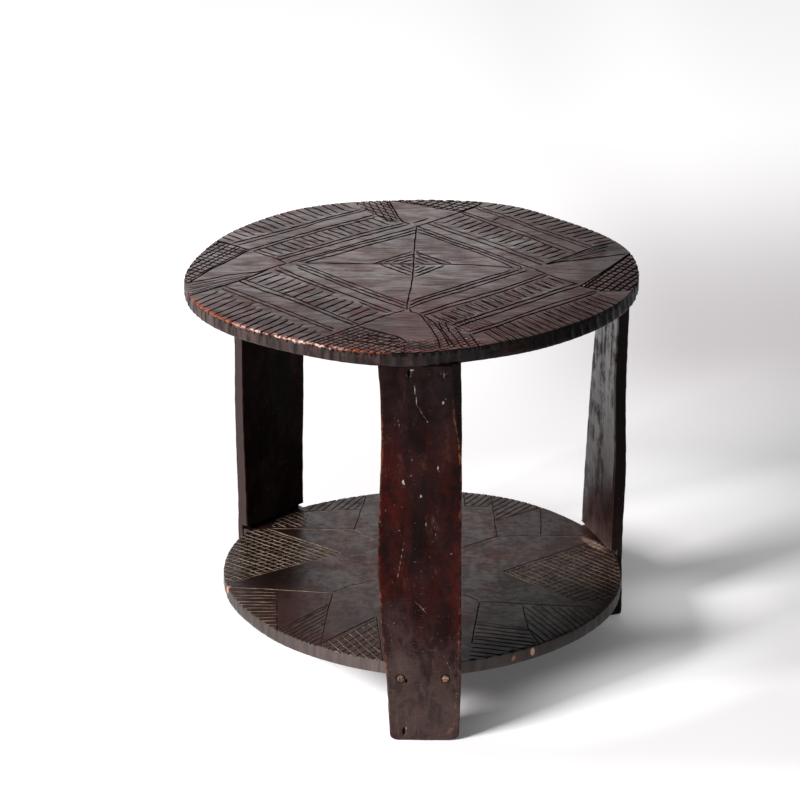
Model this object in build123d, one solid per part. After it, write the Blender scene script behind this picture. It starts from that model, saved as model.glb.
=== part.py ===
from build123d import *

import os
from collections import namedtuple
from math import cos, hypot, radians, sin

# A hand-hewn round side table: a carved top and a smaller carved shelf on three plank legs.
# Lengths are millimetres.  While it is built, the table's axis is x = y = 0 and the floor is z = 0.
# Angles are degrees, counter-clockwise from +X seen from above.

# ---- Whole table ---------------------------------------------------------------------------
TABLE_HEIGHT = 447.0
TOP_RADIUS = 250.0
TOP_THICKNESS = 16.0
SHELF_THICKNESS = 16.0
SHELF_HEIGHT = 82.0  # floor to the shelf's upper face
SHELF_STEP_IN = 21.0  # how much smaller the shelf's radius is than the top's
SHELF_SHIFT = 14.6  # how far the shelf's own centre lies off the table's axis, along X

# ---- Hand-cut outlines: how far the rim stands off its circle, every 15 degrees ---------------
TOP_WANDER = (2, 4, 1, -2, 5, 4, -1, -1, 1, -4, -7, -8, -3, 2, 3, 0, -2, 3, 4, -4, -9, -10, -5, 0)
TOP_FLARE = (0, 0, 0, 0, 0, 0, 0, 0, 0, 0, 0, 0, 0, 0, 0, 0, 0, -1, 0, 1, 4, 5, 3, 1)  # lower edge
SHELF_WANDER = (-2, -1, -1, -1, 1, 0, -2, -4, -3, 2, 5, 3, 0, -3, -6, -5, -3, 2, 6, 3, -1, -3, -2, -1)
RIM_WEAR = 1.5  # how far the boards' upper and lower edges are worn back
RIM_FLATS = 96  # upright flat cuts round each rim

# ---- Legs ------------------------------------------------------------------------------------
# Each leg is a plank that faces outwards along its azimuth.  setback is from the top's circle to
# the plank's inner face.  low and high are the two long edges' offsets from the plank's middle
# line, at seven even heights from the floor to the top; high is the counter-clockwise side.
Leg = namedtuple("Leg", "azimuth setback thickness_foot thickness_top low high")
LEGS = {
    "front": Leg(-90.0, 17.0, 23.0, 19.0,
                 (-22.0, -25.6, -31.5, -34.2, -32.3, -30.5, -34.0),
                 (53.0, 55.0, 54.8, 54.3, 54.3, 54.0, 52.5)),
    "right": Leg(19.0, 17.0, 17.5, 14.5,
                 (-37.0, -35.0, -38.0, -40.0, -35.0, -38.0, -40.0),
                 (59.0, 56.0, 51.8, 44.8, 36.4, 27.5, 19.0)),
    "left": Leg(137.6, 35.6, 17.5, 14.5,
                (-45.0, -46.0, -46.8, -48.9, -50.0, -50.7, -51.0),
                (50.0, 50.0, 50.8, 52.3, 52.2, 51.2, 51.0)),
}
LEG_EDGE_WEAR = 1.6
FOOT_CORNER = 8.0
WANE_WIDTH = 10.0  # natural corner of the split log, left on the front leg's upper outside
WANE_DEPTH = 9.0
WANE_LENGTH = 116.0

# ---- Housings: the shallow cross cuts in the legs that take the shelf's rim --------------------
HOUSING_DEPTH = 8.0
HOUSING_SLACK = 5.0  # free height above the shelf
TONGUE_INSET = 1.5  # from a leg's edge to the side of the shelf's tongue in its housing

# ---- Pegs and filler -------------------------------------------------------------------------
SHELF_PEG_RADIUS = 4.0
SHELF_PEG_SPREAD = 24.0  # each side of the leg's middle
SHELF_PEG_BITE = 26.0  # length in the shelf
PEG_PROUD = 0.6
PEG_FLATS = 12  # the pegs are whittled, not turned
TOP_PEG_RADIUS = 3.0
TOP_PEG_SPREAD = 10.0
TOP_PEG_INSET = 6.5  # from a leg's inner face to its top pegs
TOP_PEG_BITE = 28.0  # length in the leg
FILLER_HALF_LENGTH = 18.0
FILLER_MARGIN = 2.0  # filler beyond the pegs, on the rim's side
FILLER_HALF_WIDTH = {"front": 12.5, "right": 8.0, "left": 8.0}
FILLER_DEPTH = 2.5
FILLER_CUTS = 24  # knife cuts round the patch

# ---- Carving: V grooves, set out in millimetres on a top and a shelf of these radii ------------
TOP_SET_OUT_RADIUS = 250.0
SHELF_SET_OUT_RADIUS = 229.0
GROOVE_WIDTH = 2.4
GROOVE_DEPTH = 1.3
GROOVE_LIFT = 0.5  # the cutter starts this far above the board
RUNG_INSET = 2.5  # a ladder's rung stops this short of the lines of its band, at each end

# Long lines of the top, each through its own points.
TOP_LINES = (
    # the cross that joins the big diamond's corners
    ((7, 150), (2.5, -20), (-4, -126)), ((-118, 23), (50, 18.5), (70, 16.5), (114, 7)),
    # the small nested diamonds in the middle
    ((-39.5, 22), (2, 62)), ((-30, 24), (3, 53)), ((-21, 24), (3, 44)), ((-12, 22), (3, 35)),
    ((7, 59), (45, 21)), ((9, 48), (36, 19)), ((6, 40), (20, 24)), ((5, 30), (15, 20)),
    ((5, -23), (36, 12)), ((5, -12), (27, 12)), ((5, -3), (16, 11)), ((5, 6), (10, 14)),
    ((-33, 17), (1, -18)), ((-22, 17), (2, -8)), ((-10, 14), (3, 1)), ((-3, 17), (3, 11)),
    # the big diamond, three lines to a side
    ((-136, 21), (-126, 33), (6, 146)), ((-125, 26), (-60, 83), (-20, 113), (7, 137)),
    ((-117, 24), (-83, 50.5), (-50, 81), (7, 127)), ((8, 148), (74, 77), (129.5, 10.5), (137, 5)),
    ((8, 140), (49.5, 93), (75, 67), (97, 41), (122, 10.5), (123, 2)),
    ((7, 130), (22, 116), (77, 56), (104, 22), (112, 10), (114, 3)), ((110, -2), (66, -39), (0, -100)),
    ((119, 0), (9, -99), (-1, -113)), ((129, -1), (58, -66), (32, -87), (-1, -120.5)),
    ((-120, 20), (-80.5, -25), (-4, -107)), ((-126.5, 17), (-106, -4), (-64, -53), (-5, -114)),
    ((-124.6, 8), (-50, -78), (-5, -122.5)),
    # first pair of lines round it
    ((-146, 33), (-50, 117), (-20, 142), (-3, 154)), ((-149, 40), (-67, 113.6), (-8, 160)),
    ((20, 158), (100, 71), (146, 16)), ((27, 161), (100, 86), (127, 51), (149, 26)),
    ((147, -11), (119, -41), (97, -62), (41, -108.5), (10, -138)),
    ((150, -17), (97, -71), (69, -96), (41, -118), (14, -143)), ((-145, 8), (-119, -24), (-19, -132)),
    ((-149, 1), (-121, -32), (-79, -76)), ((-55, -102), (-24, -136)),
    # second pair
    ((-176, 62), (-100, 134.5), (-42, 181)), ((-181, 67), (-100, 143.6), (-60, 175), (-42, 192)),
    ((60, 196), (100, 148), (137, 109), (151, 88), (172, 65)),
    ((60, 203), (131, 128), (150, 102), (168, 82), (185, 60)), ((94.5, 170), (103.6, 181)),
    ((180, -44), (89, -128), (43, -173)), ((188, -48), (160, -71), (127, -104), (60, -166), (48, -179)),
    ((-183, -30), (-128, -86), (-54, -170)), ((-188, -36), (-158, -69), (-133, -91), (-59, -173)),
    # third pair
    ((-196, 82), (-120, 148), (-100, 170), (-50, 210)),
    ((-202, 88), (-120, 157), (-100, 177), (-58, 210)), ((76, 215), (118, 168.6), (163, 114), (200, 73)),
    ((80, 220), (123, 173), (149, 139), (205, 78)), ((201, -66), (153, -106), (91, -167), (61, -192)),
    ((201, -72), (182, -91), (122, -144), (91, -176), (64, -199)), ((-200, -55), (-79, -185)),
    ((-204, -62), (-80, -192)),
    # the plain kites at the big diamond's corners
    ((0, 157), (-9, 165), (-14, 183), (-27, 250)), ((7, 148), (60, 202), (75, 219), (84, 234)),
    ((-25, 246), (62, 200)), ((2, 160), (19, 175)), ((-137, 21), (-150, 38), (-176, 61)),
    ((-181, 66), (-222, -2), (-242, -44)),
    ((-137, 21), (-150, 10), (-157, 1), (-170, -8), (-200, -17), (-215, -28), (-244, -44)),
    ((-181, 66), (-225, 103)), ((-157, 1), (-186, -36), (-240, -86)),
    ((-6, -128), (-30, -147), (-104, -224)), ((-52, -177), (-12, -206), (-4, -222)),
    ((-1, -122), (1, -132), (10, -139), (20, -175), (28, -210), (31, -240)),
    ((14, -143), (23, -160), (32, -190), (41, -236)), ((30, -165), (34, -190), (46, -236)),
    ((36, -165), (41, -190), (54, -238)), ((47, -180), (62, -236)), ((61, -197), (73, -242)),
    ((150, 18), (163, 26), (240, 54)), ((137, 4), (160, -25), (184, -46)), ((249, 62), (184, -52)),
    ((150, 20), (207, 78), (230, 94)),
)

# Ladders of short strokes: first stroke, last stroke, how many.
TOP_LADDERS = (
    (((-171, 66), (-150, 46)), ((-39, 186), (-17, 161)), 18),
    (((38, 162), (62, 187)), ((152, 37), (175, 61)), 16),
    (((151, -25), (169, -45)), ((24.5, -144.5), (42, -166)), 16),
    (((-177, -34), (-153, -7)), ((-60, -161), (-35, -133)), 15),
    (((-219, 114), (-200, 96)), ((-86, 238), (-67, 212)), 17),
    (((90, 220), (106, 236)), ((205, 87), (236, 108)), 17),
    (((202, -78), (224, -102)), ((75, -190), (94, -222)), 19),
    (((-236, -108), (-207, -70)), ((-110, -222), (-92, -199)), 17),
    (((-165, -8), (-238, -49)), ((-172, -22), (-238, -86)), 6),
    (((150, 19), (216, 50)), ((152, 22), (224, 88)), 7),
    (((-46, -200), (-12, -212)), ((-70, -214), (-8, -236)), 3),
)

# Long lines and ladders of the shelf, from the shelf's own centre.
SHELF_LINES = (
    ((-67.6, 214), (-80.6, 112)), ((-142.6, 163), (-76.6, 169)),
    ((-179.6, 115), (-80.6, 112), (-54.6, 82)), ((-184.6, 115), (-94.6, 47), (-221.6, -34)),
    ((-220.6, -45), (-101.6, -60), (-84.6, -44), (-54.6, -27)), ((-164.6, -53), (-159.6, -165)),
    ((-101.6, -60), (-106.6, -110), (-111.6, -192)), ((-104.6, -88), (-162.6, -162)),
    ((-51.6, -120), (-113.6, -190)), ((-51.6, -120), (-42.6, -238)),
    ((83.4, 214), (87.4, 93), (47.4, 62)), ((87.4, 93), (195.4, 95)), ((142.4, 170), (139.4, 97)),
    ((88.4, 138), (145.4, 178)), ((92.4, -3), (199.4, 79)), ((92.4, -3), (171.4, -80)),
    ((47.4, -65), (63.4, -82), (185.4, -96)), ((63.4, -82), (52.4, -186)), ((59.4, -133), (115.4, -150)),
    ((111.4, -92), (115.4, -150), (127.4, -190)), ((50.4, 214), (51.4, 178), (83.4, 178)),
)
SHELF_LADDERS = (
    (((-139, 168), (-128, 180)), ((-84, 167), (-78, 206)), 9),
    (((-165.6, -60), (-228.6, -56)), ((-160.6, -154), (-190.6, -158)), 13),
    (((62, -136), (120, -150)), ((56, -195), (110, -190)), 7),
)


def ring_point(radius, wander, index):
    """One corner of a hand-cut outline: the circle's radius plus its wander, at its own angle."""
    angle = radians(360.0 * index / len(wander))
    reach = radius + wander[index]
    return (reach * cos(angle), reach * sin(angle))


def hand_cut_face(radius, wander, height):
    """A flat face whose straight cuts follow a closed smooth curve through the outline's points."""
    points = [ring_point(radius, wander, index) for index in range(len(wander))]
    curve = Spline(*points, periodic=True)
    corners = [curve @ (flat / RIM_FLATS) for flat in range(RIM_FLATS)]
    return Pos(0, 0, height) * make_face(Polyline(*corners, close=True))


def board(radius, lower_wander, upper_wander, bottom, thickness):
    """A round board whose two edges are worn back, ruled between four hand-cut outlines."""
    worn = radius - RIM_WEAR
    top = bottom + thickness
    return loft([
        hand_cut_face(worn, lower_wander, bottom),
        hand_cut_face(radius, lower_wander, bottom + RIM_WEAR),
        hand_cut_face(radius, upper_wander, top - RIM_WEAR),
        hand_cut_face(worn, upper_wander, top),
    ], ruled=True)


def carved(solid, cutters):
    """The board with its grooves cut; the chips that come loose between two grooves fall away."""
    return (solid - cutters).solids().sort_by(SortBy.VOLUME)[-1]


def stroke(start, end, surface):
    """A V-shaped cutter along one straight stroke, its edge GROOVE_DEPTH below the surface."""
    length = hypot(end[0] - start[0], end[1] - start[1])
    half = GROOVE_WIDTH / 2 * (GROOVE_DEPTH + GROOVE_LIFT) / GROOVE_DEPTH
    section = Polygon((-half, GROOVE_LIFT), (half, GROOVE_LIFT), (0, -GROOVE_DEPTH), align=None)
    heading = (end[0] - start[0], end[1] - start[1], 0)
    across = (end[1] - start[1], start[0] - end[0], 0)
    path = Plane(origin=(start[0], start[1], surface), x_dir=across, z_dir=heading)
    return extrude(path * section, length)


def strokes_of(lines, ladders, scale, centre_x, surface):
    """Every cutter of a carved face: the long lines' spans and the ladders' rungs."""
    spans = [span for line in lines for span in zip(line, line[1:])]
    for first, last, count in ladders:
        for rung in range(count):
            share = rung / (count - 1)
            start, end = [
                [a + (b - a) * share for a, b in zip(first[side], last[side])] for side in (0, 1)]
            short = RUNG_INSET / hypot(end[0] - start[0], end[1] - start[1])
            spans.append(tuple(
                tuple(a + (b - a) * part for a, b in zip(start, end)) for part in (short, 1 - short)))
    placed = [[(x * scale + centre_x, y * scale) for x, y in span] for span in spans]
    return [stroke(start, end, surface) for start, end in placed]


leg_length = TABLE_HEIGHT - TOP_THICKNESS
shelf_bottom = SHELF_HEIGHT - SHELF_THICKNESS
shelf_radius = TOP_RADIUS - SHELF_STEP_IN
stations = [leg_length * step / 6 for step in range(7)]


def inner_face(leg):
    """Distance from the table's axis to the leg's inner face."""
    return TOP_RADIUS - leg.setback


def thickness_at(leg, height):
    """The plank's thickness, which tapers evenly from foot to top."""
    return leg.thickness_foot + (leg.thickness_top - leg.thickness_foot) * height / leg_length


def edge_at(offsets, height):
    """A long edge's offset at a height, along the straight line between its stations."""
    place = height / stations[1]
    below = min(int(place), len(offsets) - 2)
    return offsets[below] + (offsets[below + 1] - offsets[below]) * (place - below)


def middle_at(leg, height):
    """The middle of the plank's width at a height."""
    return (edge_at(leg.low, height) + edge_at(leg.high, height)) / 2


def around(leg, solid):
    """Turn a solid that was built facing +X to the leg's place round the table."""
    return Rot(0, 0, leg.azimuth) * solid


def shelf_peg_places(leg):
    """The middles of a leg's two shelf pegs, across its width."""
    middle = middle_at(leg, SHELF_HEIGHT)
    return (middle - SHELF_PEG_SPREAD, middle + SHELF_PEG_SPREAD)


def top_peg_places(leg):
    """The middles of a leg's two top pegs, across its width."""
    middle = middle_at(leg, leg_length)
    return (middle - TOP_PEG_SPREAD, middle + TOP_PEG_SPREAD)


def shelf_peg(leg, offset):
    """A peg from just proud of the leg's outer face, through the housing and into the shelf."""
    height = SHELF_HEIGHT - SHELF_THICKNESS / 2
    outer_end = inner_face(leg) + thickness_at(leg, height) + PEG_PROUD
    inner_end = inner_face(leg) + HOUSING_DEPTH - SHELF_PEG_BITE
    line = Plane(origin=(inner_end, offset, height), x_dir=(0, 1, 0), z_dir=(1, 0, 0))
    return extrude(line * RegularPolygon(SHELF_PEG_RADIUS, PEG_FLATS), outer_end - inner_end)


def top_peg(leg, offset):
    """A peg from under the filler, down through the top and into the leg's end grain."""
    foot = Pos(inner_face(leg) + TOP_PEG_INSET, offset, leg_length - TOP_PEG_BITE)
    length = TOP_PEG_BITE + TOP_THICKNESS - FILLER_DEPTH
    return extrude(foot * RegularPolygon(TOP_PEG_RADIUS, PEG_FLATS), length)


def filler(name, leg):
    """The oval patch, flush with the top's face, that hides a leg's top pegs."""
    half_width = FILLER_HALF_WIDTH[name]
    rim_side = inner_face(leg) + TOP_PEG_INSET + TOP_PEG_RADIUS + FILLER_MARGIN
    place = Pos(rim_side - half_width, middle_at(leg, leg_length), TABLE_HEIGHT - FILLER_DEPTH)
    turns = [radians(360.0 * cut / FILLER_CUTS) for cut in range(FILLER_CUTS)]
    corners = [(half_width * cos(turn), FILLER_HALF_LENGTH * sin(turn)) for turn in turns]
    return extrude(place * make_face(Polyline(*corners, close=True)), FILLER_DEPTH)


def housing(leg, side_inset=0.0, slack=0.0, reach_in=0.0):
    """The block of space that the shelf's rim takes in a leg, or the shelf's tongue in it."""
    low = min(leg.low) - HOUSING_DEPTH
    high = max(leg.high) + HOUSING_DEPTH
    if side_inset > 0.0:
        low = edge_at(leg.low, SHELF_HEIGHT) + side_inset
        high = edge_at(leg.high, SHELF_HEIGHT) - side_inset
    near = inner_face(leg) - reach_in
    size = (HOUSING_DEPTH + reach_in, high - low, SHELF_THICKNESS + slack)
    return Pos(near, low, shelf_bottom) * Box(*size, align=(Align.MIN, Align.MIN, Align.MIN))


def plank(leg):
    """A leg: its hewn front outline and its tapered side profile, both extruded, where they meet."""
    low_points = list(zip(leg.low, stations))
    high_points = list(zip(leg.high, stations))
    face = make_face(Polyline(*low_points, *reversed(high_points), close=True))
    foot_corners = face.vertices().sort_by(Axis.Y)[:2]
    face = fillet(foot_corners, FOOT_CORNER)
    facing = Plane(origin=(inner_face(leg), 0, 0), x_dir=(0, 1, 0), z_dir=(1, 0, 0))
    broad = extrude(facing * face, max(leg.thickness_foot, leg.thickness_top))
    corners = ((0, 0), (leg.thickness_foot, 0), (leg.thickness_top, leg_length), (0, leg_length))
    profile = Polygon(*corners, align=None)
    reach = max(abs(offset) for offset in leg.low + leg.high) * 2
    side_on = Plane(origin=(inner_face(leg), reach, 0), x_dir=(1, 0, 0), z_dir=(0, -1, 0))
    solid = broad & extrude(side_on * profile, 2 * reach)
    long_edges = solid.edges().filter_by(lambda edge: abs((edge @ 1 - edge @ 0).Z) > stations[1] * 0.8)
    return chamfer(long_edges, LEG_EDGE_WEAR)


def wane(leg):
    """The corner taken off the plank's upper outside edge, fading out down the leg."""
    outer = inner_face(leg) + leg.thickness_top
    side = leg.high[-1]
    start = leg_length - WANE_LENGTH
    tip = Vector(inner_face(leg) + thickness_at(leg, start), side, start)
    across = Vector(outer, side - WANE_WIDTH, leg_length)
    down_side = Vector(outer - WANE_DEPTH, side, leg_length)
    normal = (across - tip).cross(down_side - tip)
    if normal.X < 0:
        normal = normal * -1
    cut = Plane(origin=tip, z_dir=normal)
    return cut * extrude(Rectangle(4 * WANE_LENGTH, 4 * WANE_LENGTH), WANE_LENGTH)


# ---- Boards ------------------------------------------------------------------------------------
lower_outline = tuple(a + b for a, b in zip(TOP_WANDER, TOP_FLARE))
tabletop = board(TOP_RADIUS, lower_outline, TOP_WANDER, leg_length, TOP_THICKNESS)
lower_shelf = Pos(SHELF_SHIFT, 0, 0) * board(
    shelf_radius, SHELF_WANDER, SHELF_WANDER, shelf_bottom, SHELF_THICKNESS)

# ---- Legs, with the joints that they make with the boards --------------------------------------
parts = {}
for name, leg in LEGS.items():
    body = plank(leg) - housing(leg, slack=HOUSING_SLACK)
    if name == "front":
        body -= wane(leg)
    beyond = Pos(HOUSING_DEPTH, 0, 0) * housing(leg)
    lower_shelf -= around(leg, beyond)
    lower_shelf += around(leg, housing(leg, side_inset=TONGUE_INSET, reach_in=SHELF_PEG_BITE))
    for side, offset in zip(("low", "high"), shelf_peg_places(leg)):
        peg = shelf_peg(leg, offset)
        body -= peg
        lower_shelf -= around(leg, peg)
        parts[f"shelf_peg_{name}_{side}"] = around(leg, peg)
    for side, offset in zip(("low", "high"), top_peg_places(leg)):
        peg = top_peg(leg, offset)
        body -= peg
        tabletop -= around(leg, peg)
        parts[f"top_peg_{name}_{side}"] = around(leg, peg)
    patch = around(leg, filler(name, leg))
    tabletop -= patch
    parts[f"filler_{name}"] = patch
    parts[f"leg_{name}"] = around(leg, body)

# ---- Carving -----------------------------------------------------------------------------------
top_scale = TOP_RADIUS / TOP_SET_OUT_RADIUS
top_strokes = strokes_of(TOP_LINES, TOP_LADDERS, top_scale, 0.0, TABLE_HEIGHT)
parts["tabletop"] = carved(tabletop, top_strokes)
shelf_scale = shelf_radius / SHELF_SET_OUT_RADIUS
shelf_strokes = strokes_of(SHELF_LINES, SHELF_LADDERS, shelf_scale, SHELF_SHIFT, SHELF_HEIGHT)
parts["lower_shelf"] = carved(lower_shelf, shelf_strokes)

# ---- Written with the middle of the whole table's footprint at the origin ----------------------
boxes = [solid.bounding_box() for solid in parts.values()]
middle_x = (min(box.min.X for box in boxes) + max(box.max.X for box in boxes)) / 2
middle_y = (min(box.min.Y for box in boxes) + max(box.max.Y for box in boxes)) / 2
os.makedirs("parts", exist_ok=True)
for name, solid in parts.items():
    export_step(Pos(-middle_x, -middle_y, 0) * solid, f"parts/{name}.step")
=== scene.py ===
"""A hewn and carved round side table: carved top and shelf, three plank legs, pegs and filler.

Shapes are worked out in millimetres in the table's own frame and put into meshes in metres.
"""
import math

import bpy
import numpy as np
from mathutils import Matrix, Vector
from mathutils.geometry import delaunay_2d_cdt


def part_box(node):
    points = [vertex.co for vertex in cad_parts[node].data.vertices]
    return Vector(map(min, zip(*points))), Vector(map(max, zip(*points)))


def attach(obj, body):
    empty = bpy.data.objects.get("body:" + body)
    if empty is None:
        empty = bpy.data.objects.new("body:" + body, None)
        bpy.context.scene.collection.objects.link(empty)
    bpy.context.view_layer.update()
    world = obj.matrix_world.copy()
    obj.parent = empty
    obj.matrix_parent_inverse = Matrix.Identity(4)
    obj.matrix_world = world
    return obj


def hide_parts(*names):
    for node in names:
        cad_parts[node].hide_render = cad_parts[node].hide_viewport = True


bl_info = {
    "name": "Carved Drum Table",
    "version": (1, 0, 0),
    "blender": (4, 5, 0),
    "location": "View3D > Sidebar > Carved Table",
    "description": "Builds a hewn round side table with a carved top and shelf",
    "category": "Add Mesh",
}

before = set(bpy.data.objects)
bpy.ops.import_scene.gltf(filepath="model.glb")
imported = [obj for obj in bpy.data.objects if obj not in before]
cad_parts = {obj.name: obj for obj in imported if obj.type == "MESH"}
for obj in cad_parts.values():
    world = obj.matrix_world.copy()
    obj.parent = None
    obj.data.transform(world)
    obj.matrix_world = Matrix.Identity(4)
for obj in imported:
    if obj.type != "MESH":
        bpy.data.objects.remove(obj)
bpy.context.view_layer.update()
MM = 0.001

# ---- What the solids are made from, in millimetres -----------------------------------------------
TOP_RADIUS = 250.0
SHELF_RADIUS = 229.0
SHELF_SHIFT = 14.6
TOP_WANDER = (2, 4, 1, -2, 5, 4, -1, -1, 1, -4, -7, -8, -3, 2, 3, 0, -2, 3, 4, -4, -9, -10, -5, 0)
TOP_FLARE = (0, 0, 0, 0, 0, 0, 0, 0, 0, 0, 0, 0, 0, 0, 0, 0, 0, -1, 0, 1, 4, 5, 3, 1)
TOP_LOW_WANDER = np.add(TOP_WANDER, TOP_FLARE)
SHELF_WANDER = (-2, -1, -1, -1, 1, 0, -2, -4, -3, 2, 5, 3, 0, -3, -6, -5, -3, 2, 6, 3, -1, -3, -2, -1)
LEG_HEIGHT = 431.0
HOUSING_LOW, HOUSING_HIGH = 66.0, 87.0
HOUSING_DEPTH = 8.0
TONGUE_INSET = 1.5
TOP_PEG_INSET = 6.5
FILLER_HALF_LENGTH = 18.0

# Each leg: azimuth, inner face from the axis, thickness at the foot and at the top, and the two
# long edges' offsets at seven even heights, the clockwise side first.
LEGS = {
    "front": dict(azimuth=-90.0, inner=233.0, foot=23.0, top=19.0, filler=12.5,
                  low=(-22.0, -25.6, -31.5, -34.2, -32.3, -30.5, -34.0),
                  high=(53.0, 55.0, 54.8, 54.3, 54.3, 54.0, 52.5)),
    "right": dict(azimuth=19.0, inner=233.0, foot=17.5, top=14.5, filler=8.0,
                  low=(-37.0, -35.0, -38.0, -40.0, -35.0, -38.0, -40.0),
                  high=(59.0, 56.0, 51.8, 44.8, 36.4, 27.5, 19.0)),
    "left": dict(azimuth=137.6, inner=214.4, foot=17.5, top=14.5, filler=8.0,
                 low=(-45.0, -46.0, -46.8, -48.9, -50.0, -50.7, -51.0),
                 high=(50.0, 50.0, 50.8, 52.3, 52.2, 51.2, 51.0)),
}

# ---- How the visible pieces are made, in millimetres ---------------------------------------------
RIM_INSET = 2.2  # the face's ring stands this far in from the rim
FACE_SPACING = 6.0  # between the loose points of a face
RING_CLEARANCE, GROOVE_CLEARANCE = 1.5, 1.3  # the loose points keep off the ring and the grooves
STROKE_REACH = 12.0  # a stroke that lies further out than this over the mean radius is left out
WELD = 0.03  # points that are nearer than this become one
BY_HOLE = 1.6  # an open edge within this of a hole belongs to it
POCKET_DEPTH = 2.4
LEG_CORNER = 2.0  # radius of the legs' long corners
WEAR_REACH = 9.0  # how far wear fades in from a leg's corners
TOP_SEED = 7  # the filler's planing continues the top's
BOARD_MARKS = ("cut", "rim", "worn", "tool")

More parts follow.
